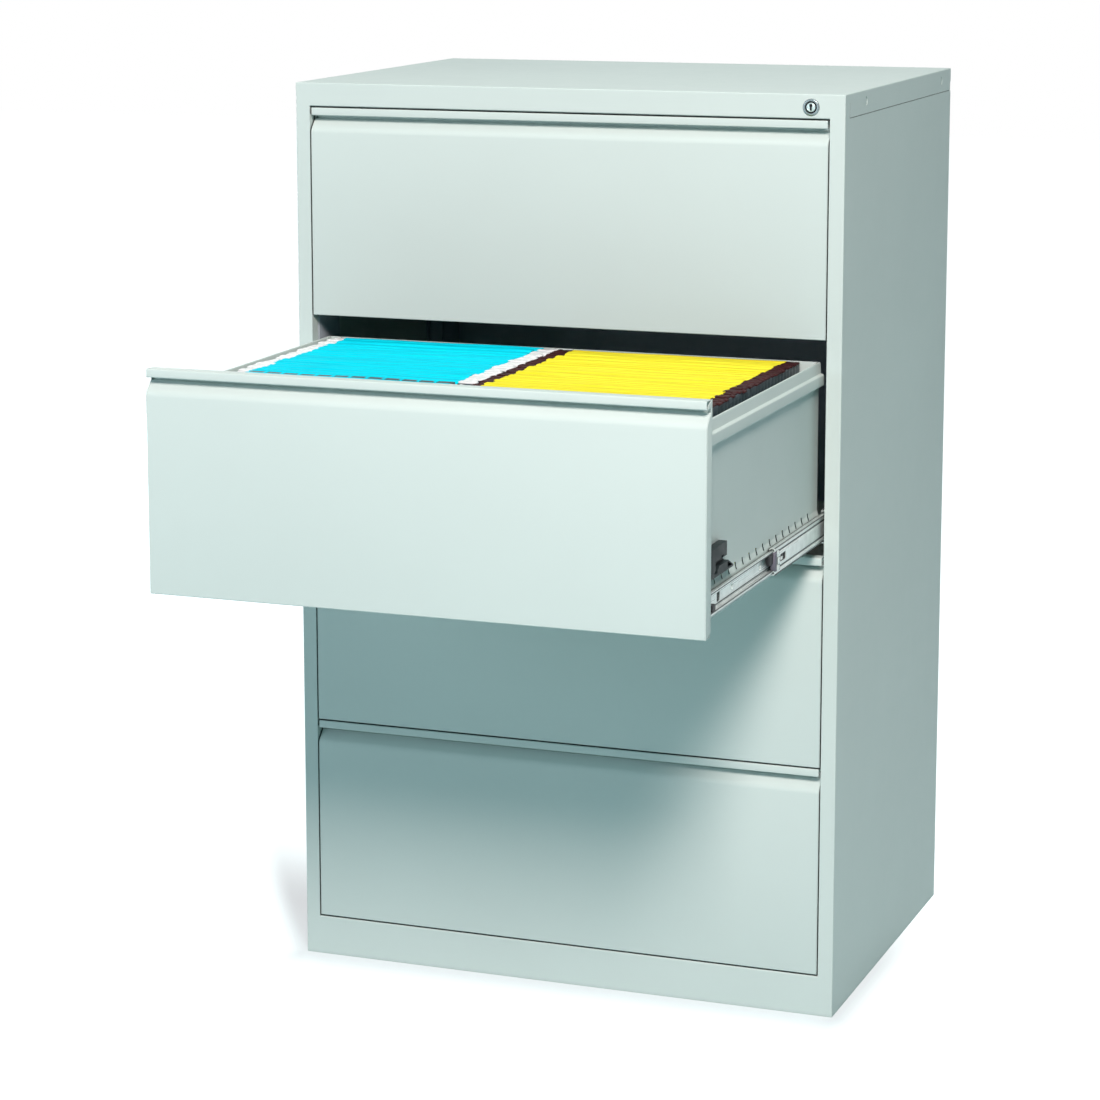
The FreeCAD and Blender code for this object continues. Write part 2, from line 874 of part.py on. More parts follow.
def lock_cam():
    """Flat cam on the plug's tail, with the pin that moves the lock bar."""
    start = lock_barrel_length + plug_tail
    half = plug_diameter / 2
    reach = cam_throw + cam_pin_diameter / 2 + cam_wall / 2
    corner = cam_wall
    outline = [
        (lock_x - half, lock_z - corner), (lock_x - corner, lock_z - half),
        (lock_x + corner, lock_z - half), (lock_x + reach, lock_z - corner),
        (lock_x + reach, lock_z + corner), (lock_x + corner, lock_z + half),
        (lock_x - corner, lock_z + half), (lock_x - half, lock_z + corner),
    ]
    plate = prism(outline, along_y(start, start + cam_thickness))
    pin_end = bar_depth - bar_width / 2 + bar_arm_thickness + cam_pin_past_arm
    pin = cylinder(
        cam_pin_diameter / 2, (lock_x + cam_throw, start, lock_z), (0, 1, 0), pin_end - start)
    return plate.fuse(pin).removeSplitter()


def lock_bar():
    """Upright bar in the right front post, with its arm at the top and a tab for each drawer."""
    y0 = bar_depth - bar_width / 2
    y1 = bar_depth + bar_width / 2
    bar_out = bar_face + bar_thickness
    arm_low = lock_z - arm_height / 2
    arm_high = lock_z + arm_height / 2
    low = drawer_level(drawer_count) + catch_tab_height - bar_below_last_tab
    bar = block(bar_face, bar_out, y0, y1, low, arm_high)
    pin_radius = cam_pin_diameter / 2
    lag = max_lag()
    slot_left = lock_x - pin_radius - bar_slack
    slot_right = lock_x + cam_throw + pin_radius + bar_slack
    arm = block(slot_left - cam_wall, bar_out, y0, y0 + bar_arm_thickness, arm_low, arm_high)
    arm = arm.cut(block(
        slot_left, slot_right, y0 - overcut, y0 + bar_arm_thickness + overcut,
        lock_z - pin_radius - lag - bar_slack, lock_z + pin_radius + bar_slack,
    ))
    tabs = []
    tip = web_face + catch_thickness - catch_channel_depth + tab_channel_gap
    half = bar_tab_width / 2
    for number in range(1, drawer_count + 1):
        height = drawer_level(number) + catch_tab_height
        tabs.append(block(
            tip, bar_face, bar_depth - half, bar_depth + half, height - half, height + half))
    return bar.fuse([arm] + tabs).removeSplitter()


def max_lag():
    """Most that the cam's pin runs ahead of the evenly moving bar in a quarter turn."""
    angle = math.acos(2 / math.pi)
    return cam_throw * (math.sin(angle) - 2 * angle / math.pi)


def both_sides(shapes):
    """Shapes of the right side together with their mirror images."""
    pieces = []
    for shape in shapes:
        pieces.append(shape)
        pieces.append(mirrored(shape))
    return Part.makeCompound(pieces)


def casing_nodes():
    """Every node of the casing and the lock."""
    members = []
    for number in range(1, drawer_count + 1):
        members.append(placed(cabinet_member(), number, 0))
    right = right_side_panel()
    return {
        "top_cover": top_cover(),
        "right_side_panel": right,
        "left_side_panel": mirrored(right),
        "back_panel": back_panel(),
        "plinth": plinth(),
        "base_frame": base_frame(),
        "base_pan": base_pan(),
        "counterweight": counterweight(),
        "slide_posts": slide_posts(),
        "cabinet_members": both_sides(members),
        "lock_housing": lock_housing(),
        "lock_plug": lock_plug(),
        "lock_cam": lock_cam(),
        "lock_bar": lock_bar(),
    }


def drawer_nodes(number):
    """Every node of one drawer, closed or pulled open."""
    travel = open_distance if number == open_drawer else 0
    right_side = drawer_right_side()
    middle_parts = [middle_member(), front_latch()] + ball_cages()
    shapes = {
        "front": drawer_front(),
        "inner_front": drawer_liner(),
        "left_side": mirrored(right_side),
        "right_side": right_side,
        "floor": drawer_floor(),
        "back": drawer_back(),
        "hanging_rails": hanging_rails(),
        "drawer_members": both_sides([drawer_member()]),
        "catch": drawer_catch(),
    }
    nodes = {}
    for name, shape in shapes.items():
        nodes["drawer_%d_%s" % (number, name)] = placed(shape, number, travel)
    middle = placed(both_sides(middle_parts), number, travel / 2)
    nodes["drawer_%d_middle_members" % number] = middle
    return nodes


def folder_nodes():
    """The two rows of folders in the open drawer."""
    nodes = {
        "blue_folders": folder_boards(left_row_centre),
        "blue_folder_tips": folder_tips(left_row_centre),
        "yellow_folders": folder_boards(right_row_centre),
        "yellow_folder_tips": folder_tips(right_row_centre),
    }
    return {name: placed(shape, open_drawer, open_distance) for name, shape in nodes.items()}


def main():
    """Builds each node and writes it to its own file."""
    os.makedirs("parts", exist_ok=True)
    nodes = casing_nodes()
    for number in range(1, drawer_count + 1):
        nodes.update(drawer_nodes(number))
    nodes.update(folder_nodes())
    for name, shape in nodes.items():
        if not shape.isValid():
            print("not valid:", name)
        shape.exportStep("parts/%s.step" % name)
    print("nodes:", len(nodes))


main()
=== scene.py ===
import math
import random

import bmesh
import bpy
from mathutils import Matrix, Vector


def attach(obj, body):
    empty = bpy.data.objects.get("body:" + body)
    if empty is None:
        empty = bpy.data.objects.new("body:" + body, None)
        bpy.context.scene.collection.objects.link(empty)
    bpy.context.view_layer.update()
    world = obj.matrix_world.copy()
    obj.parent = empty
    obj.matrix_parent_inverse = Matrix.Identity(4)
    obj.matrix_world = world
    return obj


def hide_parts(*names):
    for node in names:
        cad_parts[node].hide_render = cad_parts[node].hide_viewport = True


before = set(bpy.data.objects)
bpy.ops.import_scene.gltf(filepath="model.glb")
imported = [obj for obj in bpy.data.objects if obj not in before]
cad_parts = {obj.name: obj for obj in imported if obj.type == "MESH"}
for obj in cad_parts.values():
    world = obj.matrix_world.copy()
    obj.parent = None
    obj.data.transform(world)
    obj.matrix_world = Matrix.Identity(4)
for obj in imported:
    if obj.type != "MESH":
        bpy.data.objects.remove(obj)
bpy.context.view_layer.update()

scene = bpy.context.scene
mm = 0.001

# Camera: fitted to points read off the photograph; the shift is part of its framing.
camera_place = Vector((1.5557, -4.5464, 1.5932))
camera_yaw = -0.3763
camera_pitch = 0.1752
camera_roll = -0.0042
camera_lens = 107.96
camera_sensor = 36.0
camera_shift_x = 0.0646
camera_shift_y = -0.10
camera_far = 60.0


def make_camera():
    forward = Vector((math.sin(camera_yaw) * math.cos(camera_pitch),
                      math.cos(camera_yaw) * math.cos(camera_pitch),
                      -math.sin(camera_pitch)))
    level = Vector((math.cos(camera_yaw), -math.sin(camera_yaw), 0))
    upward = level.cross(forward)
    right = math.cos(camera_roll) * level + math.sin(camera_roll) * upward
    top = -math.sin(camera_roll) * level + math.cos(camera_roll) * upward
    data = bpy.data.cameras.new("camera")
    data.lens = camera_lens
    data.sensor_width = camera_sensor
    data.shift_x = camera_shift_x
    data.shift_y = camera_shift_y
    data.clip_end = camera_far
    camera = bpy.data.objects.new("camera", data)
    rows = Matrix((right, top, -forward)).transposed().to_4x4()
    rows.translation = camera_place
    camera.matrix_world = rows
    scene.collection.objects.link(camera)
    scene.camera = camera


def area_light(name, place, target, size, energy, colour):
    data = bpy.data.lights.new(name, "AREA")
    data.shape = "RECTANGLE"
    data.size = size[0]
    data.size_y = size[1]
    data.energy = energy
    data.color = colour
    lamp = bpy.data.objects.new(name, data)
    lamp.location = place
    lamp.rotation_mode = "QUATERNION"
    lamp.rotation_quaternion = (Vector(target) - Vector(place)).to_track_quat("-Z", "Y")
    scene.collection.objects.link(lamp)
    return lamp


# Materials. Every one is procedural: colour drift, roughness and a fine bump from noise.
noise_span = (0.25, 0.75)
tone_span = (0.3, 0.7)
paint_gloss = 0.25
board_gloss = 0.08
# Painted crevice shade: ambient occlusion darkens the paint's colour in narrow gaps.
crevice_shade_samples = 8
crevice_shade_reach = 0.01
crevice_shade_open = (0.25, 0.6)
crevice_shade_tone = 0.15


def empty_tree(owner, output):
    """The owner's node tree with nothing in it but its output."""
    owner.use_nodes = True
    tree = owner.node_tree
    tree.nodes.clear()
    return tree, tree.nodes.new(output)


def new_material(name):
    made = bpy.data.materials.new(name)
    tree, out = empty_tree(made, "ShaderNodeOutputMaterial")
    shader = tree.nodes.new("ShaderNodeBsdfPrincipled")
    tree.links.new(shader.outputs[0], out.inputs["Surface"])
    return made, tree, shader


def noise(tree, scale, detail=3.0, stretch=(1, 1, 1)):
    place = tree.nodes.new("ShaderNodeTexCoord")
    mapping = tree.nodes.new("ShaderNodeMapping")
    mapping.inputs["Scale"].default_value = stretch
    made = tree.nodes.new("ShaderNodeTexNoise")
    made.inputs["Scale"].default_value = scale
    made.inputs["Detail"].default_value = detail
    tree.links.new(place.outputs["Object"], mapping.inputs["Vector"])
    tree.links.new(mapping.outputs["Vector"], made.inputs["Vector"])
    return made.outputs["Fac"]


def ramp(tree, source, stops):
    made = tree.nodes.new("ShaderNodeValToRGB")
    elements = made.color_ramp.elements
    while len(elements) < len(stops):
        elements.new(0.5)
    for element, (place, colour) in zip(elements, stops):
        element.position = place
        element.color = (*colour, 1)
    tree.links.new(source, made.inputs["Fac"])
    return made.outputs["Color"]


def spread(tree, source, low, high):
    """The span that a noise mostly fills, drawn out between two values."""
    made = tree.nodes.new("ShaderNodeMapRange")
    made.inputs["From Min"].default_value = noise_span[0]
    made.inputs["From Max"].default_value = noise_span[1]
    made.inputs["To Min"].default_value = low
    made.inputs["To Max"].default_value = high
    tree.links.new(source, made.inputs["Value"])
    return made.outputs["Result"]


def bump(tree, shader, height, strength, distance):
    made = tree.nodes.new("ShaderNodeBump")
    made.inputs["Strength"].default_value = strength
    made.inputs["Distance"].default_value = distance
    tree.links.new(height, made.inputs["Height"])
    tree.links.new(made.outputs["Normal"], shader.inputs["Normal"])


def shade(colour, by):
    return tuple(min(1.0, channel * by) for channel in colour)


def drifting(tree, source, colour, low, high):
    """The colour, drifting between two shares of itself."""
    stops = [(tone_span[0], shade(colour, low)), (tone_span[1], shade(colour, high))]
    return ramp(tree, source, stops)


def painted_crevice_shade(tree, colour):
    """Painted shade: darkens the paint's colour in gaps and folds narrower than the reach, where shade
    falls.
    """
    near = tree.nodes.new("ShaderNodeAmbientOcclusion")
    near.samples = crevice_shade_samples
    near.inputs["Distance"].default_value = crevice_shade_reach
    level = tree.nodes.new("ShaderNodeMapRange")
    level.inputs["From Min"].default_value = crevice_shade_open[0]
    level.inputs["From Max"].default_value = crevice_shade_open[1]
    level.inputs["To Min"].default_value = crevice_shade_tone
    tree.links.new(near.outputs["AO"], level.inputs["Value"])
    scale = tree.nodes.new("ShaderNodeVectorMath")
    scale.operation = "SCALE"
    tree.links.new(colour, scale.inputs[0])
    tree.links.new(level.outputs["Result"], scale.inputs["Scale"])
    return scale.outputs["Vector"]


def powder_coat(name, colour, drift=0.02, rough=(0.42, 0.5)):
    """Baked powder paint: nearly even colour, a satin sheen, a fine orange peel and painted shade in its
    gaps and folds.
    """
    made, tree, shader = new_material(name)
    shader.inputs["Specular IOR Level"].default_value = paint_gloss
    tone = drifting(tree, noise(tree, scale=3.0, detail=2.0), colour, 1 - drift, 1 + drift)
    # The colour carries painted shade in gaps and folds.
    tree.links.new(painted_crevice_shade(tree, tone), shader.inputs["Base Color"])
    tree.links.new(spread(tree, noise(tree, scale=40.0), *rough), shader.inputs["Roughness"])
    bump(tree, shader, noise(tree, scale=900.0, detail=2.0), strength=0.035, distance=0.0004)
    return made


def bright_zinc(name, colour, rough=(0.24, 0.38), metal=0.9):
    """Cold rolled, zinc plated strip: drawn lines along its length and cloudy brightness."""
    made, tree, shader = new_material(name)
    shader.inputs["Metallic"].default_value = metal
    tone = drifting(tree, noise(tree, scale=60.0, detail=4.0), colour, 0.86, 1.08)
    tree.links.new(tone, shader.inputs["Base Color"])
    drawn = noise(tree, scale=220.0, detail=2.0, stretch=(1, 0.02, 1))
    tree.links.new(spread(tree, drawn, *rough), shader.inputs["Roughness"])
    bump(tree, shader, drawn, strength=0.12, distance=0.0003)
    return made


def moulded_plastic(name, colour, drift=0.12, gloss=0.2):
    """Injection moulded plastic: mottled tone and a faint spark-eroded grain."""
    made, tree, shader = new_material(name)
    shader.inputs["Specular IOR Level"].default_value = gloss
    cloud = noise(tree, scale=90.0, detail=4.0)
    tone = drifting(tree, cloud, colour, 1 - drift, 1 + drift)
    tree.links.new(tone, shader.inputs["Base Color"])
    tree.links.new(spread(tree, cloud, low=0.42, high=0.58), shader.inputs["Roughness"])
    bump(tree, shader, noise(tree, scale=1600.0, detail=2.0), strength=0.1, distance=0.0003)
    return made


def dyed_board(name, colour, darker):
    """Dyed folder board: fibres drawn out along the fold, with slow drifts of tone."""
    made, tree, shader = new_material(name)
    shader.inputs["Specular IOR Level"].default_value = board_gloss
    fibres = noise(tree, scale=160.0, detail=5.0, stretch=(0.05, 2.2, 1))
    tones = [(0.32, darker), (0.52, colour), (0.8, shade(colour, 1.04))]
    tree.links.new(ramp(tree, fibres, tones), shader.inputs["Base Color"])
    tree.links.new(spread(tree, fibres, low=0.6, high=0.78), shader.inputs["Roughness"])
    bump(tree, shader, fibres, strength=0.25, distance=0.0004)
    return made


def cast_iron(name, colour):
    """Rough grey casting under a thin coat."""
    made, tree, shader = new_material(name)
    skin = noise(tree, scale=70.0, detail=8.0)
    tree.links.new(drifting(tree, skin, colour, 0.7, 1.2), shader.inputs["Base Color"])
    tree.links.new(spread(tree, skin, low=0.6, high=0.85), shader.inputs["Roughness"])
    bump(tree, shader, skin, strength=0.6, distance=0.001)
    return made


grey_paint = (0.655, 0.745, 0.712)
casing_paint = powder_coat("casing_paint", grey_paint)
front_paint = powder_coat("front_paint", grey_paint, drift=0.015)
drawer_paint = powder_coat("drawer_paint", shade(grey_paint, 0.96))
# Bluish tint on the back panel: painted shade colour, matching the blue cast of shade inside the casing.
back_paint_shade_tint = powder_coat("back_paint_shade_tint", (0.68, 0.7, 0.76))
# Darker coat on the slide posts inside the casing: painted shade for the dim interior.
inside_shade_coat = powder_coat("inside_shade_coat", (0.42, 0.47, 0.52), drift=0.1, rough=(0.6, 0.7))
slide_zinc = bright_zinc("slide_zinc", (0.68, 0.74, 0.72), metal=0.45)
base_steel = bright_zinc("base_steel", (0.45, 0.47, 0.47), rough=(0.4, 0.55))
lock_chrome = bright_zinc("lock_chrome", (0.5, 0.62, 0.61), rough=(0.3, 0.4), metal=0.8)
ring_chrome = bright_zinc("ring_chrome", (0.24, 0.29, 0.3), rough=(0.2, 0.3))
# Near black, put on slot edges, the lock's gap and its keyway as painted shade.
painted_hollow_shade = moulded_plastic("painted_hollow_shade", (0.01, 0.011, 0.013))
ballast = cast_iron("ballast", (0.08, 0.085, 0.09))
catch_plastic = moulded_plastic("catch_plastic", (0.02, 0.029, 0.031), gloss=0.12)
# Near black strips that paint shade along the slides' edges, grooves and latch tabs.
painted_line_shade = bright_zinc("painted_line_shade", (0.09, 0.105, 0.105), rough=(0.5, 0.6), metal=0.2)
# Used for the real cages and for plates of painted shade behind the slides' slits and windows.
cage_plastic_and_shade = moulded_plastic("cage_plastic_and_shade", (0.02, 0.022, 0.025))
latch_plastic = moulded_plastic("latch_plastic", (0.15, 0.145, 0.18))
white_plastic = moulded_plastic("white_plastic", (0.96, 0.96, 0.96), drift=0.02)
brown_plastic = moulded_plastic("brown_plastic", (0.05, 0.016, 0.017), drift=0.4, gloss=0.06)
# Dark slate for the hooks and the blue row's bar: partly their own colour, partly painted shade for the
# dark gaps under the caps.
hook_steel_and_shade = bright_zinc("hook_steel_and_shade", (0.055, 0.075, 0.09), rough=(0.4, 0.55), metal=0.3)
# Dark slate for the hanging rails: partly their own colour, partly painted shade for the gap beside the
# folders.
rail_steel_and_shade = bright_zinc("rail_steel_and_shade", (0.16, 0.19, 0.21), rough=(0.4, 0.55), metal=0.4)
blue_board = dyed_board("blue_board", (0.0, 0.76, 0.93), (0.0, 0.62, 0.82))
yellow_board = dyed_board("yellow_board", (0.98, 0.87, 0.045), (0.9, 0.74, 0.02))


# Sizes in millimetres, as the CAD source has them. Depth is counted from the casing's front.
cabinet_depth = 590.0
front_y = -cabinet_depth / 2
drawer_numbers = (1, 2, 3, 4)
open_drawer = 2
drawer_levels = {1: 950.0, 2: 653.0, 3: 356.0, 4: 59.0}
open_distance = {1: 0.0, 2: 522.0, 3: 0.0, 4: 0.0}

front_half = 377.0
front_height = 295.0
front_depth = 20.0
sheet = 1.0
fold = 0.6
lip_height = 11.0
lip_thickness = 3.5
lip_hem = 6.0
pull_mouth = 5.0
chamfer = 15.0
chamfer_bend = 12.0
bottom_return = 12.0
plate_corner = (18.0, 6.0)
plate_setback = 1.0
plate_notch = 5.5
plate_gap = 0.3
plate_below_lip = 0.6
plate_top_step = 0.4
plate_bevel = 0.35

body_start = 21.0
body_end = 545.0
web_face = 362.0
skirt_face = 364.3
side_inside = web_face - sheet
rim_height = 264.0
rim_drop = 16.0
rim_width = 8.5
rim_skirt = 16.0
rim_gap = 0.5
crest_width = 3.0
rim_lean = 1.0
rim_knee = 0.8
rim_bend = 1.2
crest_bend = 0.3
skirt_bend = 0.8
skirt_top = 60.0
skirt_slope = 7.0
floor_level = 14.0
floor_flange = 18.0
slot_count = 15
slot_first = 74.0
slot_pitch = 30.0
slot_width = 4.6
slot_low = 54.0
slot_high = 64.0
slot_lip = 0.45
slot_rim = 1.6
slot_corner = 0.5
slot_corner_lift = 0.3
near_slot = 0.1
on_slot_edge = 0.01
shaded_edge_facing = 0.8

slide_centre = 37.0
slide_sheet = 1.2

# Angles in degrees, the least turn of a path that is rounded, in radians, and a lathe's steps.
shading_angle = 35.0
bevel_angle = 20.0
least_turn = 0.02
lathe_steps = 48


def put(x, depth, height):
    """A point given by X, depth from the casing's front and height, in metres."""
    return Vector((x * mm, (front_y + depth) * mm, height * mm))


def unit(a, b):
    length = math.hypot(b[0] - a[0], b[1] - a[1])
    return ((b[0] - a[0]) / length, (b[1] - a[1]) / length)


def round_path(path, radii, steps=4):
    """The path with each inner corner turned into an arc of its radius."""
    made = [path[0]]
    for i in range(1, len(path) - 1):
        here = path[i]
        into = unit(path[i - 1], here)
        out = unit(here, path[i + 1])
        turn = math.acos(max(-1.0, min(1.0, into[0] * out[0] + into[1] * out[1])))
        radius = radii[i - 1]
        if radius <= 0 or turn < least_turn:
            made.append(here)
            continue
        run = radius * math.tan(turn / 2)
        side = 1 if into[0] * out[1] - into[1] * out[0] > 0 else -1
        start = (here[0] - into[0] * run, here[1] - into[1] * run)
        centre = (start[0] - side * into[1] * radius, start[1] + side * into[0] * radius)
        arm = (start[0] - centre[0], start[1] - centre[1])
        for k in range(steps + 1):
            angle = side * turn * k / steps
            c, s = math.cos(angle), math.sin(angle)
            made.append((centre[0] + arm[0] * c - arm[1] * s, centre[1] + arm[0] * s + arm[1] * c))
    made.append(path[-1])
    return made


def sheet_lines(path, thickness, bends, steps):
    """Both faces of a folded sheet whose metal lies on the right-hand side of the path."""
    radii = []
    for i in range(1, len(path) - 1):
        into, out = unit(path[i - 1], path[i]), unit(path[i], path[i + 1])
        turns_right = into[0] * out[1] - into[1] * out[0] < 0
        inside = bends[i - 1]
        radii.append(inside + thickness if turns_right and inside else inside)
    near = round_path(path, radii, steps)
    far = []
    for i, here in enumerate(near):
        dirs = []
        if i > 0:
            dirs.append(unit(near[i - 1], here))
        if i < len(near) - 1:
            dirs.append(unit(here, near[i + 1]))
        nx = sum(d[1] for d in dirs)
        ny = -sum(d[0] for d in dirs)
        share = thickness / (0.5 * (nx * nx + ny * ny)) if len(dirs) == 2 else thickness
        far.append((here[0] + nx * share, here[1] + ny * share))
    return near, far


def smooth(mesh, angle=shading_angle):
    """Smooth shading with sharp edges kept where faces meet at more than the angle."""
    mesh.polygons.foreach_set("use_smooth", [True] * len(mesh.polygons))
    mesh.set_sharp_from_angle(angle=math.radians(angle))


class Builder:
    """Collects the parts of one piece and makes them into one object."""

    def __init__(self):
        self.points = []
        self.faces = []
        self.tags = []

    def add(self, points, faces, tag=0):
        base = len(self.points)
        self.points.extend(points)
        self.faces.extend(tuple(base + i for i in face) for face in faces)
        self.tags.extend([tag] * len(faces))

    def add_bmesh(self, source, tag=0):
        source.verts.index_update()
        points = [v.co.copy() for v in source.verts]
        faces = [tuple(v.index for v in face.verts) for face in source.faces]
        self.add(points, faces, tag)
        source.free()

    def object(self, name, materials, angle=shading_angle):
        mesh = bpy.data.meshes.new(name)
        mesh.from_pydata(self.points, [], self.faces)
        for each in materials:
            mesh.materials.append(each)
        mesh.polygons.foreach_set("material_index", self.tags)
        mesh.validate()
        smooth(mesh, angle)
        made = bpy.data.objects.new(name, mesh)
        scene.collection.objects.link(made)
        return made


def sheet_part(path, thickness, bends, stations, place, hole=None, lift=None, steps=4):
    """A folded sheet pulled along its stations, with holes where hole(a, b, w) says so."""
    near, far = sheet_lines(path, thickness, bends, steps)
    rows, cols = len(near), len(stations)
    points = []
    for face, line in enumerate((near, far)):
        for i in range(rows):
            for j in range(cols):
                a, b = line[i]
                if lift:
                    da, db = lift(near[i], far[i], stations[j])
                    a, b = a + da, b + db
                points.append(place(a, b, stations[j]))

    def at(face, i, j):
        return face * rows * cols + i * cols + j

    def solid(i, j):
        if not (0 <= i < rows - 1 and 0 <= j < cols - 1):
            return False
        if hole is None:
            return True
        a = (near[i][0] + near[i + 1][0] + far[i][0] + far[i + 1][0]) / 4
        b = (near[i][1] + near[i + 1][1] + far[i][1] + far[i + 1][1]) / 4
        return not hole(a, b, (stations[j] + stations[j + 1]) / 2)

    around = ((-1, 0), (0, 1), (1, 0), (0, -1))
    faces = []
    for i in range(rows - 1):
        for j in range(cols - 1):
            if not solid(i, j):
                continue
            corners = ((i, j), (i, j + 1), (i + 1, j + 1), (i + 1, j))
            faces.append([at(0, *corner) for corner in corners])
            faces.append([at(1, *corner) for corner in (corners[0], *corners[:0:-1])])
            for k, (di, dj) in enumerate(around):
                if not solid(i + di, j + dj):
                    here, after = corners[k], corners[(k + 1) % len(corners)]
                    faces.append([at(0, *here), at(1, *here), at(1, *after), at(0, *after)])
    return points, faces


def prism_bmesh(outline, place, w0, w1, bevel, segments=2):
    """A closed outline pulled from w0 to w1, with its edges rounded."""
    made = bmesh.new()
    low = [made.verts.new(place(a, b, w0)) for a, b in outline]
    face = made.faces.new(low)
    grown = bmesh.ops.extrude_face_region(made, geom=[face])["geom"]
    shift = place(0, 0, w1) - place(0, 0, w0)
    lifted = [v for v in grown if isinstance(v, bmesh.types.BMVert)]
    bmesh.ops.translate(made, verts=lifted, vec=shift)
    bmesh.ops.recalc_face_normals(made, faces=made.faces)
    if bevel:
        sharp = [e for e in made.edges if e.calc_face_angle(0.0) > math.radians(bevel_angle)]
        bmesh.ops.bevel(made, geom=sharp, offset=bevel * mm, segments=segments, affect="EDGES",
                        profile=0.5, clamp_overlap=True)
    return made


def block_bmesh(low, high, bevel):
    """A block between two corners given as X, depth and height, with rounded edges."""
    outline = [(low[0], low[2]), (high[0], low[2]), (high[0], high[2]), (low[0], high[2])]
    return prism_bmesh(outline, lambda a, b, w: put(a, w, b), low[1], high[1], bevel)


def polygon(centre, radius, sides):
    """The corners of a regular polygon."""
    angles = [2 * math.pi * k / sides for k in range(sides)]
    return [(centre[0] + radius * math.cos(t), centre[1] + radius * math.sin(t)) for t in angles]


def lathe_part(profile, centre):
    """A turned part about an axis along the depth; the profile is (radius, depth) pairs."""
    points = []
    for radius, depth in profile:
        points += [put(a, depth, b) for a, b in polygon(centre, radius, lathe_steps)]

    def at(i, k):
        return i * lathe_steps + k % lathe_steps

    faces = []
    for i in range(len(profile) - 1):
        for k in range(lathe_steps):
            faces.append((at(i, k), at(i, k + 1), at(i + 1, k + 1), at(i + 1, k)))
    if profile[0][0] > 0:
        faces.append([at(0, k) for k in range(lathe_steps)][::-1])
    if profile[-1][0] > 0:
        faces.append([at(len(profile) - 1, k) for k in range(lathe_steps)])
    return points, faces


def carry(piece, body, slot, *nodes):
    """Puts a finished piece on its body and hides what it stands for; the slot is not used."""
    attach(piece, body)
    if nodes:
        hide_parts(*nodes)


def places(number, side=1, share=1.0):
    """Two ways to place an outline: pulled along the depth, or lying along it.

    The side mirrors it, and the share of the drawer's travel moves it forward.
    """
    level = drawer_levels[number]
    travel = share * open_distance[number]

    def along(a, b, w):
        return put(side * a, w - travel, b + level)

    def flat(a, b, w):
        return put(side * w, a - travel, b + level)

    return along, flat


def front_piece(number):
    """Folded drawer front: hemmed lip, finger pull, chamfer, face, return and end plates."""
    across = places(number)[1]
    top = front_height
    ledge = top - lip_height - pull_mouth
    path = [
        (lip_thickness, top - lip_height + lip_hem),
        (lip_thickness, top - lip_height),
        (0, top - lip_height),
        (0, top),
        (front_depth, top),
        (front_depth, ledge - sheet),
        (chamfer + sheet / 2, ledge - sheet),
        (sheet, ledge - chamfer - sheet / 2),
        (sheet, sheet),
        (front_depth - sheet, sheet),
        (front_depth - sheet, bottom_return),
    ]
    bends = [fold, fold, fold, fold, fold, fold, chamfer_bend, fold, fold]
    half = front_half - sheet
    built = Builder()
    built.add(*sheet_part(path, sheet, bends, [-half, half], across, steps=5))
    hollow = lip_thickness + plate_gap
    under_lip = top - lip_height + plate_below_lip
    outline = round_path([(0, sheet), (0, ledge - chamfer), (chamfer, ledge)], [chamfer_bend + sheet]) + [
        (chamfer, under_lip),
        (hollow, under_lip),
        (hollow, top - plate_notch),
        (front_depth - sheet - plate_setback, top - plate_top_step),
        (front_depth, top),
        (front_depth, plate_corner[1]),
        (front_depth - plate_corner[0], 0),
        (sheet, 0),
    ]
    for side in (-1, 1):
        plate = prism_bmesh(outline, across, side * half, side * front_half, plate_bevel, segments=3)
        built.add_bmesh(plate)
    made = built.object("drawer_%d_front_skin" % number, [front_paint])
    carry(made, "drawer_%d" % number, "front_paint", "drawer_%d_front" % number)


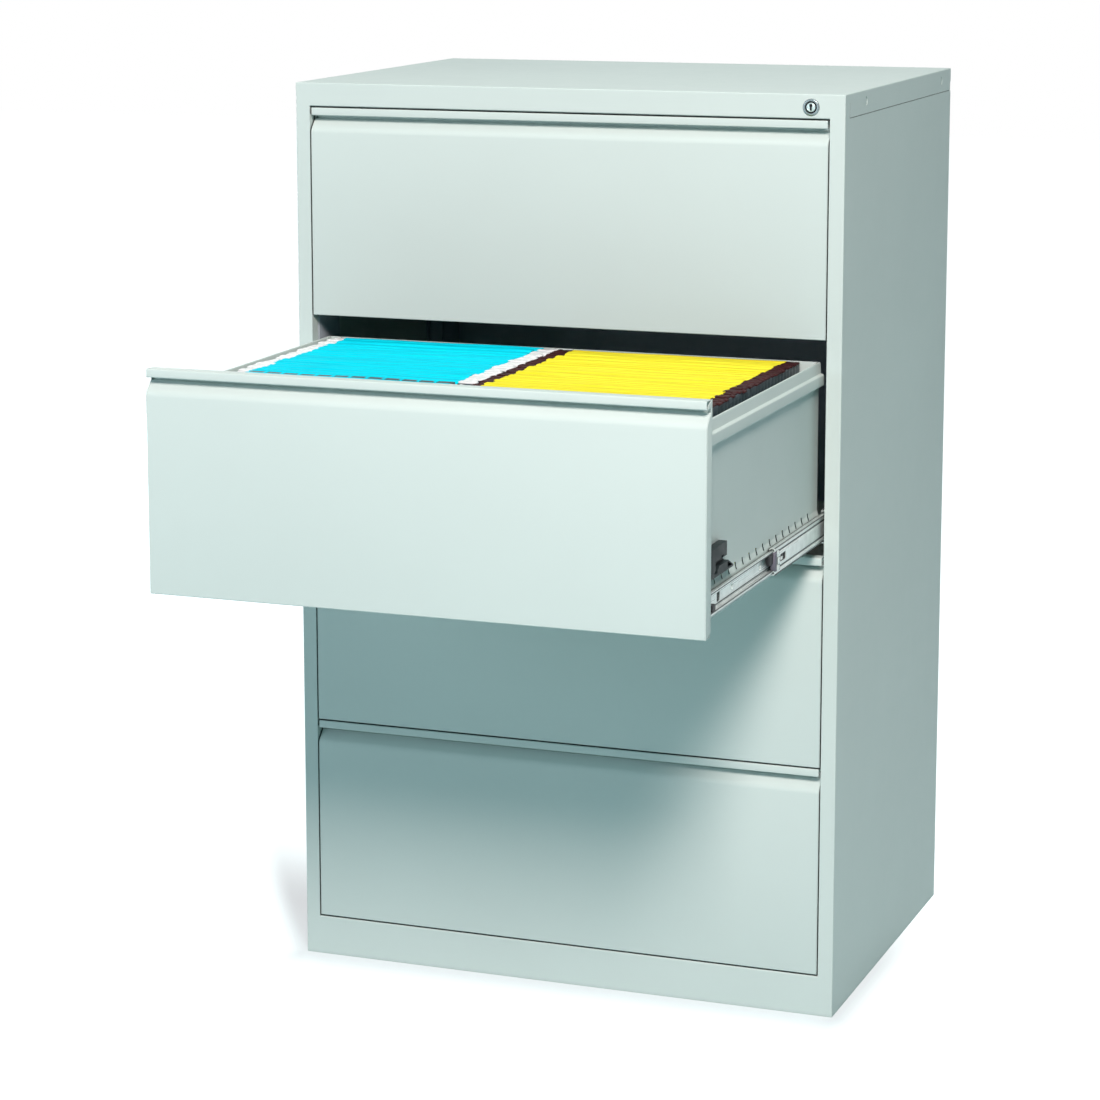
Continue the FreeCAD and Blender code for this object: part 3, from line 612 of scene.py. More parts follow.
def side_piece(number, side):
    """Drawer side: rolled rim, web, joggled skirt, divider slots with pressed rims, floor flange; the
    slots' cut edges carry painted shade.
    """
    along = places(number, side)[0]
    rim_out = web_face + rim_width - sheet
    slope_end = rim_height - rim_drop
    slope = (side_inside - (skirt_face - sheet)) / skirt_slope
    at_slot = skirt_face - sheet + slope * (slot_low - (skirt_top - skirt_slope))
    path = [
        (skirt_face - sheet - floor_flange, floor_level),
        (skirt_face - sheet, floor_level),
        (skirt_face - sheet, skirt_top - skirt_slope),
        (at_slot, slot_low),
        (side_inside, skirt_top),
        (side_inside, slot_high),
        (side_inside, slot_high + slot_rim),
        (side_inside, rim_height),
        (side_inside + crest_width, rim_height),
        (side_inside + crest_width + rim_lean, slope_end + rim_knee),
        (rim_out, slope_end - rim_knee),
        (rim_out, slope_end - rim_skirt),
        (web_face + rim_gap, slope_end - rim_skirt),
    ]
    bends = [skirt_bend, skirt_bend, 0, skirt_bend, 0, 0, crest_bend, crest_bend,
             skirt_bend, rim_bend, skirt_bend]
    stations = [body_start]
    slots = []
    for i in range(slot_count):
        y0 = slot_first + i * slot_pitch
        y1 = y0 + slot_width
        slots.append((y0, y1))
        stations += [y0 - slot_rim, y0, y1, y1 + slot_rim]
    stations.append(body_end)

    def hole(a, b, w):
        return slot_low < b < slot_high and any(y0 < w < y1 for y0, y1 in slots)

    def lift(near, far, w):
        on_edge = any(abs(w - edge) < on_slot_edge for pair in slots for edge in pair)
        if not on_edge or not slot_low - near_slot < near[1] < slot_high + near_slot:
            return (0, 0)
        between = slot_low + slot_corner < near[1] < slot_high - slot_corner
        rise = slot_lip if between else slot_lip * slot_corner_lift
        across = unit(near, far)
        return (rise * across[0], rise * across[1])

    built = Builder()
    built.add(*sheet_part(path, sheet, bends, stations, along, hole, lift))
    name = "right" if side > 0 else "left"
    made = built.object("drawer_%d_%s_sheet" % (number, name), [drawer_paint, painted_hollow_shade])
    low = along(0, slot_low, slots[0][0] - slot_rim)
    high = along(0, slot_high, slots[-1][1] + slot_rim)
    # The slots' cut edges that face along the depth are painted near black, as shade.
    for face in made.data.polygons:
        among_slots = all(low[i] < face.center[i] < high[i] for i in (1, 2))
        if among_slots and abs(face.normal.y) > shaded_edge_facing:
            face.material_index = 1
    carry(made, "drawer_%d" % number, "drawer_paint", "drawer_%d_%s_side" % (number, name))


# Slides, as X outwards from the cabinet's middle and height above the drawer's bottom. Bends are
# those of the lip, the race's corner and the steps of the web.
drawer_member_x = (364.3, 371.7)
drawer_member_half = 13.0
drawer_member_run = (22.0, 542.0)
drawer_member_bends = (0.5, 1.0, 0.4)
middle_member_x = (366.5, 374.3)
middle_member_half = 18.0
middle_member_run = (42.0, 522.0)
middle_member_bends = (0.8, 1.4, 0.3)
window = (27.0, 52.0, 5.0)
race = 1.6
race_room = 3.0
web_step = 0.7
web_inset = 0.5
web_edge = (4.0, 5.0)
web_split = 6.0
groove = 1.3
groove_edges = (4.6, 5.6, 8.6, 9.6)
zinc_tag, dark_tag, shade_line_tag, latch_tag = range(4)

# Small parts of the slides, as X from the member's outer face, depth from its front end and
# height from its middle.
slit = (56.0, 68.0, 6.5)
# Dark plate of painted shade behind the slit.
slit_shade = ((-7.3, -6.8), (55.0, 69.0), (-7.5, 7.5))
stop_block = ((-7.0, -0.3), (22.0, 35.0), (-11.4, -3.0))
rivet_places = (120.0, 242.0, 364.0, 470.0)
rivet_radius = 4.2
rivet_height = 2.6
rivet_bevel = 0.7
rivet_sides = 16
# Thin dark blocks of painted shade: lines along the slides' edges, races, web and grooves, and tab_shadows
# beside the latch tabs.
line_x = (-0.9, 0.12)
line_inset = 1.0
line_bevel = 0.1
race_lines = ((11.9, 13.5), (-12.4, -11.2))
web_line_x = (-5.9, -5.3)
web_line = (-8.6, -7.0)
edge_line = (17.1, 18.12)
groove_line = (9.7, 12.0)
cage_front = ((-6.2, -1.6), (-20.0, -1.5), (-2.0, 11.5))
cage_front_bevel = 1.0
# Dark plate of painted shade behind the window.
window_shade = ((-4.4, -2.6), (25.0, 54.0), (-6.5, 6.5))
window_shade_bevel = 0.2
window_stop = ((-2.4, -1.2), (33.0, 40.0), (-4.0, 0.5))
tab_x = (-2.0, 0.8)
tab_bevel = 0.6
latch_tabs = (((9.0, 20.0), (-13.0, -7.0)), ((13.0, 21.0), (-5.0, 3.0)), ((9.0, 17.0), (6.0, 13.0)))
shadow_x = (-1.8, 0.15)
tab_shadows = (
    ((6.6, 9.2), (-13.5, 13.5)), ((20.0, 22.6), (-14.0, -6.5)), ((10.0, 13.0), (-5.5, 4.0)),
    ((21.0, 23.2), (-5.0, 3.5)), ((17.0, 19.4), (5.5, 13.5)),
)
latch_x = (-5.8, 0.9)
latch_size = (4.2, 13.0)
latch_start = 1.0
latch_back = 6.5
latch_steps = 8
latch_bevel = 0.8
cage_x = (-6.2, -4.8)
cage_run = (28.0, 178.0)
cage_gap = (0.6, 0.5)
cage_bevel = 0.3
ball_x = -5.2
ball_count = 9
ball_first = 36.0
ball_pitch = 16.5
ball_radius = 1.55


def slide_block(built, flat, outside, start, block, bevel, tag):
    """A block on a slide member, from the member's outer face, front end and middle height."""
    xs, (y0, y1), (z0, z1) = block
    corners = ((y0, z0), (y1, z0), (y1, z1), (y0, z1))
    outline = [(start + y, slide_centre + z) for y, z in corners]
    built.add_bmesh(prism_bmesh(outline, flat, outside + xs[0], outside + xs[1], bevel), tag)


def drawer_member_piece(number):
    """Inner slide members: a channel with rounded ball races, rivets, slits and an end stop, with dark
    lines of painted shade along the races and web and a dark plate of painted shade behind the slit.
    """
    x0, x1 = drawer_member_x
    web = x0 + web_step
    low = slide_centre - drawer_member_half
    high = slide_centre + drawer_member_half
    out = x1 - slide_sheet
    path = [
        (out, low - race), (out, low), (x0, low), (x0, low + web_edge[0]), (web, low + web_edge[1]),
        (web, slide_centre - web_split), (web, slide_centre + web_split),
        (web, high - web_edge[1]), (x0, high - web_edge[0]), (x0, high), (out, high), (out, high + race),
    ]
    lip, corner, step = drawer_member_bends
    bends = [lip, corner, step, step, 0, 0, step, step, corner, lip]
    y0, y1 = drawer_member_run

    def hole(a, b, w):
        return slit[0] < w - y0 < slit[1] and abs(b - slide_centre) < slit[2] and a < x0 + race_room

    stations = [y0, y0 + slit[0], y0 + slit[1], y1]
    ends = (line_inset, y1 - y0 - line_inset)
    blocks = [
        (stop_block, dark_tag), (slit_shade, dark_tag), ((web_line_x, ends, web_line), shade_line_tag),
    ] + [((line_x, ends, heights), shade_line_tag) for heights in race_lines]
    built = Builder()
    for side in (-1, 1):
        along, flat = places(number, side)
        built.add(*sheet_part(path, slide_sheet, bends, stations, along, hole))
        for rivet in rivet_places:
            head = polygon((y0 + rivet, slide_centre), rivet_radius, rivet_sides)
            built.add_bmesh(prism_bmesh(head, flat, web, web + rivet_height, rivet_bevel))
        for block, tag in blocks:
            slide_block(built, flat, x1, y0, block, line_bevel, tag)
    made = built.object("drawer_%d_inner_slides" % number, [slide_zinc, cage_plastic_and_shade, painted_line_shade])
    carry(made, "drawer_%d" % number, "slide_steel", "drawer_%d_drawer_members" % number)


def middle_member_piece(number):
    """Middle slide members with stepped webs, windows, caged balls and front latches, with dark lines of
    painted shade along edges and grooves, painted shadows beside the latch tabs and a dark plate of
    painted shade behind the window.
    """
    x0, x1 = middle_member_x
    low = slide_centre - middle_member_half
    high = slide_centre + middle_member_half
    dip, web = x1 - groove, x1 - web_inset
    edge, dip_start, dip_end, web_start = groove_edges
    path = [
        (x0, high - slide_sheet - race), (x0, high), (x1, high), (x1, high - edge),
        (dip, high - dip_start), (dip, high - dip_end), (web, high - web_start),
        (web, slide_centre + window[2]), (web, slide_centre - window[2]),
        (web, low + web_start), (dip, low + dip_end), (dip, low + dip_start),
        (x1, low + edge), (x1, low), (x0, low), (x0, low + slide_sheet + race),
    ]
    lip, corner, step = middle_member_bends
    bends = [lip, corner, *[step] * 4, 0, 0, *[step] * 4, corner, lip]
    y0, y1 = middle_member_run

    def hole(a, b, w):
        return window[0] < w - y0 < window[1] and abs(b - slide_centre) < window[2] and a > x1 - race_room

    stations = [y0, y0 + window[0], y0 + window[1], y1]
    ends = (line_inset, y1 - y0 - line_inset)
    cage = (drawer_member_half + cage_gap[0], middle_member_half - slide_sheet - cage_gap[1])
    blocks = [
        (cage_front, cage_front_bevel, dark_tag), (window_shade, window_shade_bevel, dark_tag),
        (window_stop, cage_bevel, zinc_tag),
    ]
    blocks += [((tab_x, *tab), tab_bevel, zinc_tag) for tab in latch_tabs]
    blocks += [((shadow_x, *shadow), line_bevel, shade_line_tag) for shadow in tab_shadows]
    for up in (-1, 1):
        for inset, heights in ((0.0, edge_line), (groove, groove_line)):
            xs = [x - inset for x in line_x]
            zs = sorted(up * height for height in heights)
            blocks.append(((xs, ends, zs), line_bevel, shade_line_tag))
        zs = sorted(up * height for height in cage)
        blocks.append(((cage_x, cage_run, zs), cage_bevel, dark_tag))
    built = Builder()
    for side in (-1, 1):
        along, flat = places(number, side, 0.5)
        built.add(*sheet_part(path, slide_sheet, bends, stations, along, hole))
        latch = []
        for k in range(latch_steps + 1):
            angle = math.pi / 2 + math.pi * k / latch_steps
            latch.append((y0 + latch_start + latch_size[0] * math.cos(angle),
                          slide_centre + latch_size[1] * math.sin(angle)))
        latch += [(y0 + latch_back, slide_centre + turn * latch_size[1]) for turn in (-1, 1)]
        built.add_bmesh(
            prism_bmesh(latch, flat, x1 + latch_x[0], x1 + latch_x[1], latch_bevel, segments=3), latch_tag)
        for block, bevel, tag in blocks:
            slide_block(built, flat, x1, y0, block, bevel, tag)
        for up in (-1, 1):
            for k in range(ball_count):
                depth = y0 + ball_first + k * ball_pitch
                height = slide_centre + up * sum(cage) / 2
                ball = bmesh.new()
                bmesh.ops.create_icosphere(
                    ball, subdivisions=2, radius=ball_radius * mm,
                    matrix=Matrix.Translation(along(x1 + ball_x, height, depth)))
                built.add_bmesh(ball, zinc_tag)
    made = built.object("drawer_%d_middle_slides" % number,
                        [slide_zinc, cage_plastic_and_shade, painted_line_shade, latch_plastic])
    carry(made, "drawer_%d_slides" % number, "slide_steel", "drawer_%d_middle_members" % number)


def cut_away(target, cutters):
    """Takes the cutters out of the target's mesh."""
    for cutter in cutters:
        change = target.modifiers.new("cut", "BOOLEAN")
        change.operation = "DIFFERENCE"
        change.solver = "EXACT"
        change.object = cutter
    graph = bpy.context.evaluated_depsgraph_get()
    mesh = bpy.data.meshes.new_from_object(target.evaluated_get(graph))
    target.modifiers.clear()
    target.data = mesh
    for cutter in cutters:
        bpy.data.objects.remove(cutter)
    smooth(mesh)


catch_start = 24.0
catch_end = 98.0
catch_tip = 125.0
catch_low = 68.0
catch_high = 106.0
catch_outside = 373.0
catch_top_fall = 1.0
catch_beak = (15.0, 3.0)
catch_bevel = 0.9
cutter_past = 3.0

# Depth and corners of each hollow of the catch, from its lower front corner: the slanted groove,
# the channel of the lock bar's tab, the pocket that the tab drops into and the beak's hollow.
catch_hollows = (
    (5.0, ((20.0, 5.0), (30.0, 5.0), (62.0, 23.0), (52.0, 23.0))),
    (6.0, ((27.0, 12.0), (27.0, 20.0), (116.0, 20.0), (116.0, 12.0))),
    (6.0, ((27.0, 4.0), (27.0, 18.0), (35.0, 18.0), (35.0, 4.0))),
    (4.0, ((77.0, 2.5), (77.0, 11.0), (97.0, 3.0))),
)


def catch_piece(number):
    """Black moulded catch on the drawer's right side, with its beak, channel and slanted groove."""
    flat = places(number)[1]
    outline = [
        (catch_start, catch_low), (catch_start, catch_high - catch_top_fall), (catch_end, catch_high),
        (catch_end, catch_low + catch_beak[0]), (catch_tip, catch_low + catch_beak[1]),
        (catch_tip, catch_low),
    ]
    built = Builder()
    built.add_bmesh(prism_bmesh(outline, flat, web_face, catch_outside, catch_bevel, segments=3))
    made = built.object("drawer_%d_catch_moulding" % number, [catch_plastic])
    cutters = []
    for depth, corners in catch_hollows:
        hollow = [(catch_start + a, catch_low + b) for a, b in corners]
        tool = Builder()
        tool.add_bmesh(prism_bmesh(hollow, flat, catch_outside - depth, catch_outside + cutter_past, 0))
        cutters.append(tool.object("cutter", []))
    cut_away(made, cutters)
    carry(made, "drawer_%d" % number, "catch_plastic", "drawer_%d_catch" % number)


# Hanging folders: rows of boards with moulded hooks over the rails. In the blue row a dark bar hangs in
# the place of one board; -1 says that a row has none.
row_centres = {"blue": -184.0, "yellow": 168.0}
board_half = 150.0
board_steps = 12
folder_count = 34
folder_pitch = 14.72
folder_first = 50.0
folder_top = 264.0
folder_bottom = 29.5
folder_width = 14.2
rail_top = 251.5
rail_reach = 165.75
hook_drop = 7.0
cap_height = 3.2
cap_over_board = 2.5
board_skew = {"blue": 3.5, "yellow": 0.0}
dark_bar_index = {"blue": 11, "yellow": -1}
dark_bar = (-5.0, 6.5, 258.0, 263.5)
tooth_count = 12
tooth_half = 2.2
tooth_proud = 0.5
overhang = {"blue": (0.0, 0.0), "yellow": (16.0, 8.0)}
overhang_foot = 253.5
notch_depth = 5.0
notch_every = 3
tip_reach = {"blue": (167.0, 173.0), "yellow": (179.0, 168.5)}
end_step = {"blue": 4.0, "yellow": 3.0}
bunch = 5
bunch_short = 2
sway_turn = 4.1
rise_turn = 5.3
rise_height = 0.35
clump_turns = (1.9, 0.7)
clump_inner = 0.6
clump_outer = 0.5
tip_bevel = 0.8
row_shading_angle = 50

# Least and greatest values of the random draws.
board_top_draw = (-0.9, 0.6)
board_lean_draw = (-0.8, 0.8)
board_end_draw = (-1.6, 0.6)
board_wave_draw = (0, 6.28)
board_swing_draw = (0.1, 0.3)
overhang_draw = (-2.2, 1.4)
cap_inner_draw = (-1.0, 1.0)
cap_outer_draw = (-1.6, 1.6)
cap_top_draw = (-1.1, 0.4)
cap_half_draw = (4.6, 6.4)
cap_place_draw = (-1.2, 1.2)


def shorter(colour, index):
    """Boards hang in small bunches, so that the row's ends are stepped."""
    return end_step[colour] if index % bunch < bunch_short else 0.0


def overhang_at(colour, index):
    """How far the board's left end reaches over its rail, less towards the back."""
    first, last = overhang[colour]
    return first + (last - first) * index / folder_count


def folder_section(top, lean):
    """One filled folder seen from its end: crowned board edges over two walls."""
    half = folder_width / 2
    foot = half - 2.0
    return [
        (-foot, folder_bottom), (-half + 0.4, top - 14.0), (-half, top - 2.6), (-half + 0.9, top - 0.7),
        (-half + 2.3, top - 0.1), (-2.3 + lean, top - 0.5), (-1.9 + lean, top - 1.3),
        (-1.5 + lean, top - 0.2),
        (1.2 + lean, top), (1.8 + lean, top - 1.1), (2.4 + lean, top - 0.3), (half - 2.0, top - 0.2),
        (half - 0.8, top - 0.8), (half, top - 2.6), (half - 0.4, top - 14.0), (foot, folder_bottom),
    ]


def loft(sections):
    """Faces over equal closed sections, with both ends closed."""
    count = len(sections[0])
    points = [point for section in sections for point in section]
    faces = []
    for j in range(len(sections) - 1):
        for i in range(count):
            n = (i + 1) % count
            faces.append((j * count + i, (j + 1) * count + i, (j + 1) * count + n, j * count + n))
    faces.append(tuple(range(count)))
    faces.append(tuple((len(sections) - 1) * count + i for i in range(count))[::-1])
    return points, faces


def folder_row(colour, material, draw):
    """A row of boards, each a little wavy, leaning and of its own length."""
    travel = open_distance[open_drawer]
    level = drawer_levels[open_drawer]
    centre = row_centres[colour]
    built = Builder()
    stops = [-1 + 2 * k / board_steps for k in range(board_steps + 1)]
    for index in range(folder_count):
        middle = folder_first + index * folder_pitch
        top = folder_top + draw.uniform(*board_top_draw)
        lean = draw.uniform(*board_lean_draw)
        half = board_half - shorter(colour, index)
        ends = (half + draw.uniform(*board_end_draw), half + draw.uniform(*board_end_draw))
        wave = draw.uniform(*board_wave_draw)
        swing = draw.uniform(*board_swing_draw)
        skew = board_skew[colour] if index >= dark_bar_index[colour] else 0
        section = folder_section(top, lean)

        def row_point(stop, x, a, b):
            upper = (b - folder_bottom) / (top - folder_bottom)
            sway = swing * math.sin(wave + stop * sway_turn)
            rise = rise_height * math.sin(wave * 2 + stop * rise_turn)
            depth = middle + a + sway * upper + skew * stop - travel
            return put(centre + x, depth, level + b + rise * upper)

        def row_body(outline, places, tag=0):
            sections = [[row_point(stop, x, a, b) for a, b in outline] for stop, x in places]
            built.add(*loft(sections), tag)

        if index == dark_bar_index[colour]:
            bar = [(dark_bar[0], dark_bar[2]), (dark_bar[1], dark_bar[2]), (dark_bar[1], dark_bar[3]), (dark_bar[0], dark_bar[3])]
            row_body(bar, [(stop, stop * ends[0]) for stop in stops], 1)
            tooth = [(a, b + tooth_proud) for a, b in bar]
            for k in range(1, tooth_count):
                stop = -1 + 2 * k / tooth_count
                row_body(tooth, [(stop, stop * ends[0] + x) for x in (-tooth_half, tooth_half)])
            continue
        row_body(section, [(stop, stop * (ends[0] if stop < 0 else ends[1])) for stop in stops])
        reach = overhang_at(colour, index)
        if reach:
            far = -ends[0] - reach + draw.uniform(*overhang_draw)
            upper_part = [(a, max(b, overhang_foot)) for a, b in section]
            row_body(upper_part, [(-1, far), (-1, -ends[0] + 1)])
    made = built.object(colour + "_board_row", [material, hook_steel_and_shade], row_shading_angle)
    made.visible_diffuse = False
    carry(made, "drawer_2", colour + "_board", colour + "_folders")


def tip_row(colour, slot, material, draw, stagger):
    """Moulded caps with steel hooks at both ends of each folder, uneven in length and thickness; the
    hooks' dark colour is partly painted shade.
    """
    along = places(open_drawer)[0]
    centre = row_centres[colour]
    seat = rail_top + 0.6
    built = Builder()
    for index in range(folder_count):
        if index == dark_bar_index[colour]:
            continue
        middle = folder_first + index * folder_pitch
        clump = stagger * math.sin(index * clump_turns[0]) * math.sin(index * clump_turns[1])
        for side in (-1, 1):
            skew = board_skew[colour] * side if index > dark_bar_index[colour] else 0
            start = board_half - shorter(colour, index) - cap_over_board
            if side < 0:
                start += overhang_at(colour, index)
            inner = start + min(clump * clump_inner, 0) + draw.uniform(*cap_inner_draw)
            reach = tip_reach[colour][0 if side < 0 else 1]
            outer = reach + clump * clump_outer + draw.uniform(*cap_outer_draw)
            if colour == "blue" and side > 0 and index % notch_every == 1:
                outer -= notch_depth
            top = folder_top + 0.2 + draw.uniform(*cap_top_draw)
            thick = draw.uniform(*cap_half_draw)
            place = middle + skew + draw.uniform(*cap_place_draw)
            foot = top - cap_height
            cap = [
                (inner, foot), (outer - 0.8, foot), (outer, foot + 0.8), (outer - 0.8, top - 0.6),
                (outer - 5.0, top), (outer - 8.0, top - 0.9), (inner + 3.0, top - 0.3), (inner, top - 1.0),
            ]
            hook = [
                (board_half - 2.0, seat), (rail_reach - 2.4, seat), (rail_reach - 2.4, rail_top - 1.0),
                (rail_reach - 2.0, rail_top + 0.4), (rail_reach + 0.3, rail_top + 0.4),
                (rail_reach + 0.3, rail_top - hook_drop), (rail_reach + 1.2, rail_top - hook_drop),
                (rail_reach + 1.6, seat + 1.0), (rail_reach + 1.2, foot + 0.4),
                (board_half - 2.0, foot + 0.4),
            ]
            hook_tag = 0 if colour == "blue" and side < 0 else 1
            for outline, half, tag in ((cap, thick, 0), (hook, folder_pitch / 2, hook_tag)):
                mirrored = [(centre + side * a, b) for a, b in outline]
                built.add_bmesh(prism_bmesh(mirrored, along, place - half, place + half, tip_bevel), tag)
    made = built.object(colour + "_hook_row", [material, hook_steel_and_shade], row_shading_angle)
    made.visible_diffuse = False
    carry(made, "drawer_2", slot, colour + "_folder_tips")


bracket_width = 6.0
bracket_low = 246.0
bracket_run = (541.6, 543.9)


def rail_brackets(number):
    """Flanges that tie the ends of the hanging rails to the drawer's back."""
    level = drawer_levels[number]
    travel = open_distance[number]
    built = Builder()
    for centre in row_centres.values():
        for side in (-1, 1):
            middle = centre + side * (rail_reach - bracket_width / 2)
            built.add_bmesh(block_bmesh(
                (middle - bracket_width / 2, bracket_run[0] - travel, level + bracket_low),
                (middle + bracket_width / 2, bracket_run[1] - travel, level + rim_height), 0.5))
    made = built.object("drawer_%d_rail_brackets" % number, [drawer_paint])
    carry(made, "drawer_%d" % number, "drawer_paint")


# Lock in the top rail.
lock_x = 353.0
lock_z = 1262.5
key_half = 1.4
key_bit = 0.8
key_cut = (-4.0, 6.0)
keyway_shade_run = (-1.9, 5.9)
keyway_shade_shrink = 0.05
nut_radius = 13.8
nut_run = (1.3, 5.2)
nut_bevel = 0.4


def keyhole(shrink, run):
    """The keyhole as a solid that runs along the depth, a little smaller by its share."""
    wide = key_half + key_bit
    outline = [
        (-key_half, -4.5), (key_half, -4.5), (key_half, 0.4), (wide, 1.4), (wide, 3.4),
        (key_half, 4.6), (-key_half, 4.6), (-wide, 3.4), (-wide, 1.4), (-key_half, 0.4),
    ]
    placed = [(lock_x + a * (1 - shrink), lock_z + b * (1 - shrink)) for a, b in outline]
    return prism_bmesh(placed, lambda a, b, w: put(a, w, b), *run, 0)


def lock_pieces():
    """Chromed ring and barrel, turning plug with a keyhole, and painted shade: a near black ring in the
    gap round the plug and a near black solid inside the keyhole.
    """
    centre = (lock_x, lock_z)
    barrel = Builder()
    ring = [
        (7.9, -1.0), (8.4, -1.85), (9.3, -2.0), (10.4, -1.9), (11.2, -1.4), (11.5, -0.7), (11.5, 0.0),
        (9.5, 0.0), (9.5, 28.0), (7.58, 28.0), (7.58, -0.4), (7.9, -1.0),
    ]
    points, faces = lathe_part(ring, centre)
    barrel.add(points, faces[:-2])
    nut = prism_bmesh(
        polygon(centre, nut_radius, 6), lambda a, b, w: put(a, w, b), *nut_run, nut_bevel)
    barrel.add_bmesh(nut)
    carry(barrel.object("lock_ring", [ring_chrome]), "carcass", "lock_metal", "lock_housing")
    plug = Builder()
    plug.add(*lathe_part([
        (0.0, -2.3), (4.2, -2.3), (4.5, -2.1), (4.8, -2.3), (5.4, -2.3), (5.9, -2.1), (6.2, -1.6),
        (6.2, 1.0), (7.4, 1.0), (7.4, 32.0), (0.0, 32.0),
    ], centre))
    turned = plug.object("lock_cylinder", [lock_chrome])
    cutter = Builder()
    cutter.add_bmesh(keyhole(0.0, key_cut))
    cut_away(turned, [cutter.object("cutter", [])])
    carry(turned, "lock", "lock_metal", "lock_plug")
    # Painted shade: near black fills in the gap round the plug and at the back of the keyhole.
    keyway_shade = Builder()
    gap_shade_ring = [(6.25, -0.7), (7.45, -0.7), (7.45, 0.95), (6.25, 0.95), (6.25, -0.7)]
    points, faces = lathe_part(gap_shade_ring, centre)
    keyway_shade.add(points, faces[:-2])
    keyway_shade.add_bmesh(keyhole(keyway_shade_shrink, keyway_shade_run))
    carry(keyway_shade.object("lock_keyway_shade", [painted_hollow_shade]), "lock", "lock_metal")


# The first word that is found in a node's name gives its material. The other nodes are casing.
finishes = {
    "blue_folder_tips": white_plastic, "yellow_folder_tips": brown_plastic,
    "blue": blue_board, "yellow": yellow_board, "members": slide_zinc, "catch": catch_plastic,
    "lock_housing": lock_chrome, "lock_plug": lock_chrome, "hanging_rails": rail_steel_and_shade,
    "slide_posts": inside_shade_coat, "back_panel": back_paint_shade_tint, "base_frame": base_steel,
    "base_pan": base_steel, "lock_bar": base_steel, "lock_cam": base_steel,
    "counterweight": ballast, "drawer": drawer_paint,
}
for node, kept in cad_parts.items():
    found = [material for word, material in finishes.items() if word in node]
    kept.data.materials.clear()
    kept.data.materials.append(found[0] if found else casing_paint)

for drawer in drawer_numbers:
    front_piece(drawer)
    side_piece(drawer, -1)
    side_piece(drawer, 1)
    drawer_member_piece(drawer)
    middle_member_piece(drawer)
    catch_piece(drawer)
    rail_brackets(drawer)
draws = random.Random(7)
folder_row("blue", blue_board, draws)
folder_row("yellow", yellow_board, draws)
tip_row("blue", "white_plastic", white_plastic, draws, 3.5)
tip_row("yellow", "brown_plastic", brown_plastic, draws, 5.0)
lock_pieces()


# Studio: a pale floor whose glow is lowered round the cabinet's foot as a painted shadow over the real
# one, a soft key from the front, right and above, weak fills and an even dome.
# Each lamp has its place, target, width and height, watts and colour.
lamps = {
    "key": ((1.95, -4.6, 4.3), (0.0, -0.3, 0.6), (1.35, 1.35), 345, (1.0, 0.885, 0.855)),
    "side_fill": ((-3.0, -5.0, 1.6), (0.0, -0.3, 0.7), (3.0, 2.4), 54, (0.8, 0.89, 1.0)),
    "top_fill": ((0.0, -0.6, 4.5), (0.0, -0.3, 1.2), (3.0, 3.0), 30, (0.87, 1.0, 0.966)),
    "back_fill": ((-3.4, 3.2, 0.9), (0.0, 0.0, 0.65), (1.8, 1.8), 110, (1.0, 0.93, 0.92)),
}
hidden_lamp = "back_fill"
dome_strength = 0.12
dome_colour = (0.05, 0.85, 1.0)
floor_half = 14.0
floor_tone = (0.34, 0.48, 0.5)
floor_foot = (0.4, 0.295)
floor_back = -0.1
painted_shadow_slant = 0.55
floor_fade = (0.06, 0.12, 0.4)
floor_painted_shadow = (0.54, 0.46, 0.46)


def calc(tree, operation, *values):
    made = tree.nodes.new("ShaderNodeMath")
    made.operation = operation
    for socket, value in zip(made.inputs, values):
        if isinstance(value, (int, float)):
            socket.default_value = value
        else:
            tree.links.new(value, socket)
    return made.outputs[0]


def camera_sees(tree):
    """1 for rays that show the backdrop: seen directly, mirrored or through glass."""
    path = tree.nodes.new("ShaderNodeLightPath")
    seen = calc(tree, "MAXIMUM", path.outputs["Is Camera Ray"], path.outputs["Is Transmission Ray"])
    return calc(tree, "MAXIMUM", seen, path.outputs["Is Glossy Ray"])


def make_world():
    world = bpy.data.worlds.new("studio")
    scene.world = world
    tree, out = empty_tree(world, "ShaderNodeOutputWorld")
    dome = tree.nodes.new("ShaderNodeBackground")
    dome.inputs["Color"].default_value = (*dome_colour, 1)
    dome.inputs["Strength"].default_value = dome_strength
    white = tree.nodes.new("ShaderNodeBackground")
    white.inputs["Color"].default_value = (1, 1, 1, 1)
    mix = tree.nodes.new("ShaderNodeMixShader")
    tree.links.new(camera_sees(tree), mix.inputs["Fac"])
    tree.links.new(dome.outputs[0], mix.inputs[1])
    tree.links.new(white.outputs[0], mix.inputs[2])
    tree.links.new(mix.outputs[0], out.inputs["Surface"])


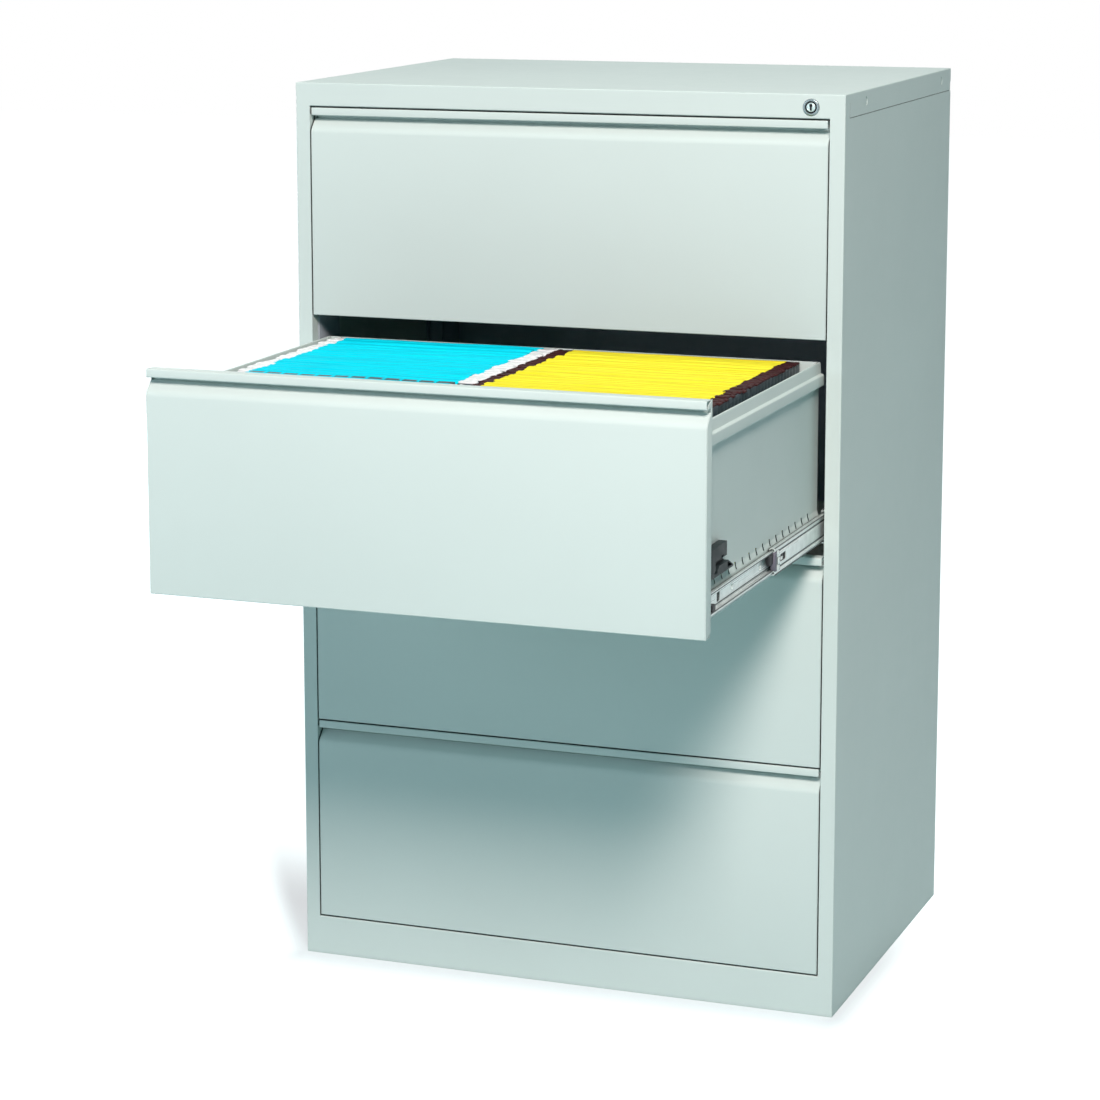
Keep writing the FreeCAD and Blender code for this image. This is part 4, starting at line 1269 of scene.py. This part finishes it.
def make_floor():
    mesh = bpy.data.meshes.new("floor")
    grid = bmesh.new()
    bmesh.ops.create_grid(grid, x_segments=8, y_segments=8, size=floor_half)
    grid.to_mesh(mesh)
    grid.free()
    floor = bpy.data.objects.new("floor", mesh)
    scene.collection.objects.link(floor)
    made = bpy.data.materials.new("floor")
    tree, out = empty_tree(made, "ShaderNodeOutputMaterial")
    matt = tree.nodes.new("ShaderNodeBsdfDiffuse")
    matt.inputs["Color"].default_value = (*floor_tone, 1)
    glow = tree.nodes.new("ShaderNodeEmission")
    place = tree.nodes.new("ShaderNodeTexCoord")
    split = tree.nodes.new("ShaderNodeSeparateXYZ")
    tree.links.new(place.outputs["Object"], split.inputs[0])
    x, y = split.outputs[0], split.outputs[1]
    # Painted shadow: the glow is lower and reddish next to the foot, reaches further back to the left
    # along the key's shadow and fades to white away from it; the real shadow shows through the diffuse
    # part.
    behind = calc(tree, "MAXIMUM", calc(tree, "ADD", y, floor_foot[1]), 0.0)
    left = calc(tree, "SUBTRACT", -floor_foot[0], calc(tree, "MULTIPLY_ADD", behind, painted_shadow_slant, x))
    right = calc(tree, "SUBTRACT", x, floor_foot[0])
    front = calc(tree, "SUBTRACT", -floor_foot[1], y)
    back = calc(tree, "SUBTRACT", y, floor_back)
    across = calc(tree, "MAXIMUM", calc(tree, "MAXIMUM", left, right), 0.0)
    across = calc(tree, "DIVIDE", across, floor_fade[0])
    front = calc(tree, "DIVIDE", front, floor_fade[1])
    back = calc(tree, "DIVIDE", back, floor_fade[2])
    along = calc(tree, "MAXIMUM", calc(tree, "MAXIMUM", front, back), 0.0)
    reach = calc(tree, "MULTIPLY_ADD", across, across, calc(tree, "MULTIPLY", along, along))
    level = tree.nodes.new("ShaderNodeMapRange")
    level.interpolation_type = "SMOOTHSTEP"
    tree.links.new(calc(tree, "SQRT", reach), level.inputs["Value"])
    fading = ramp(tree, level.outputs["Result"], [(0.0, floor_painted_shadow), (1.0, (1, 1, 1))])
    tree.links.new(fading, glow.inputs["Color"])
    tree.links.new(camera_sees(tree), glow.inputs["Strength"])
    both = tree.nodes.new("ShaderNodeAddShader")
    tree.links.new(matt.outputs[0], both.inputs[0])
    tree.links.new(glow.outputs[0], both.inputs[1])
    tree.links.new(both.outputs[0], out.inputs["Surface"])
    mesh.materials.append(made)


make_camera()
make_world()
make_floor()
for lamp_name, values in lamps.items():
    lamp = area_light(lamp_name, *values)
    lamp.visible_camera = lamp_name != hidden_lamp
scene.view_settings.view_transform = "Standard"
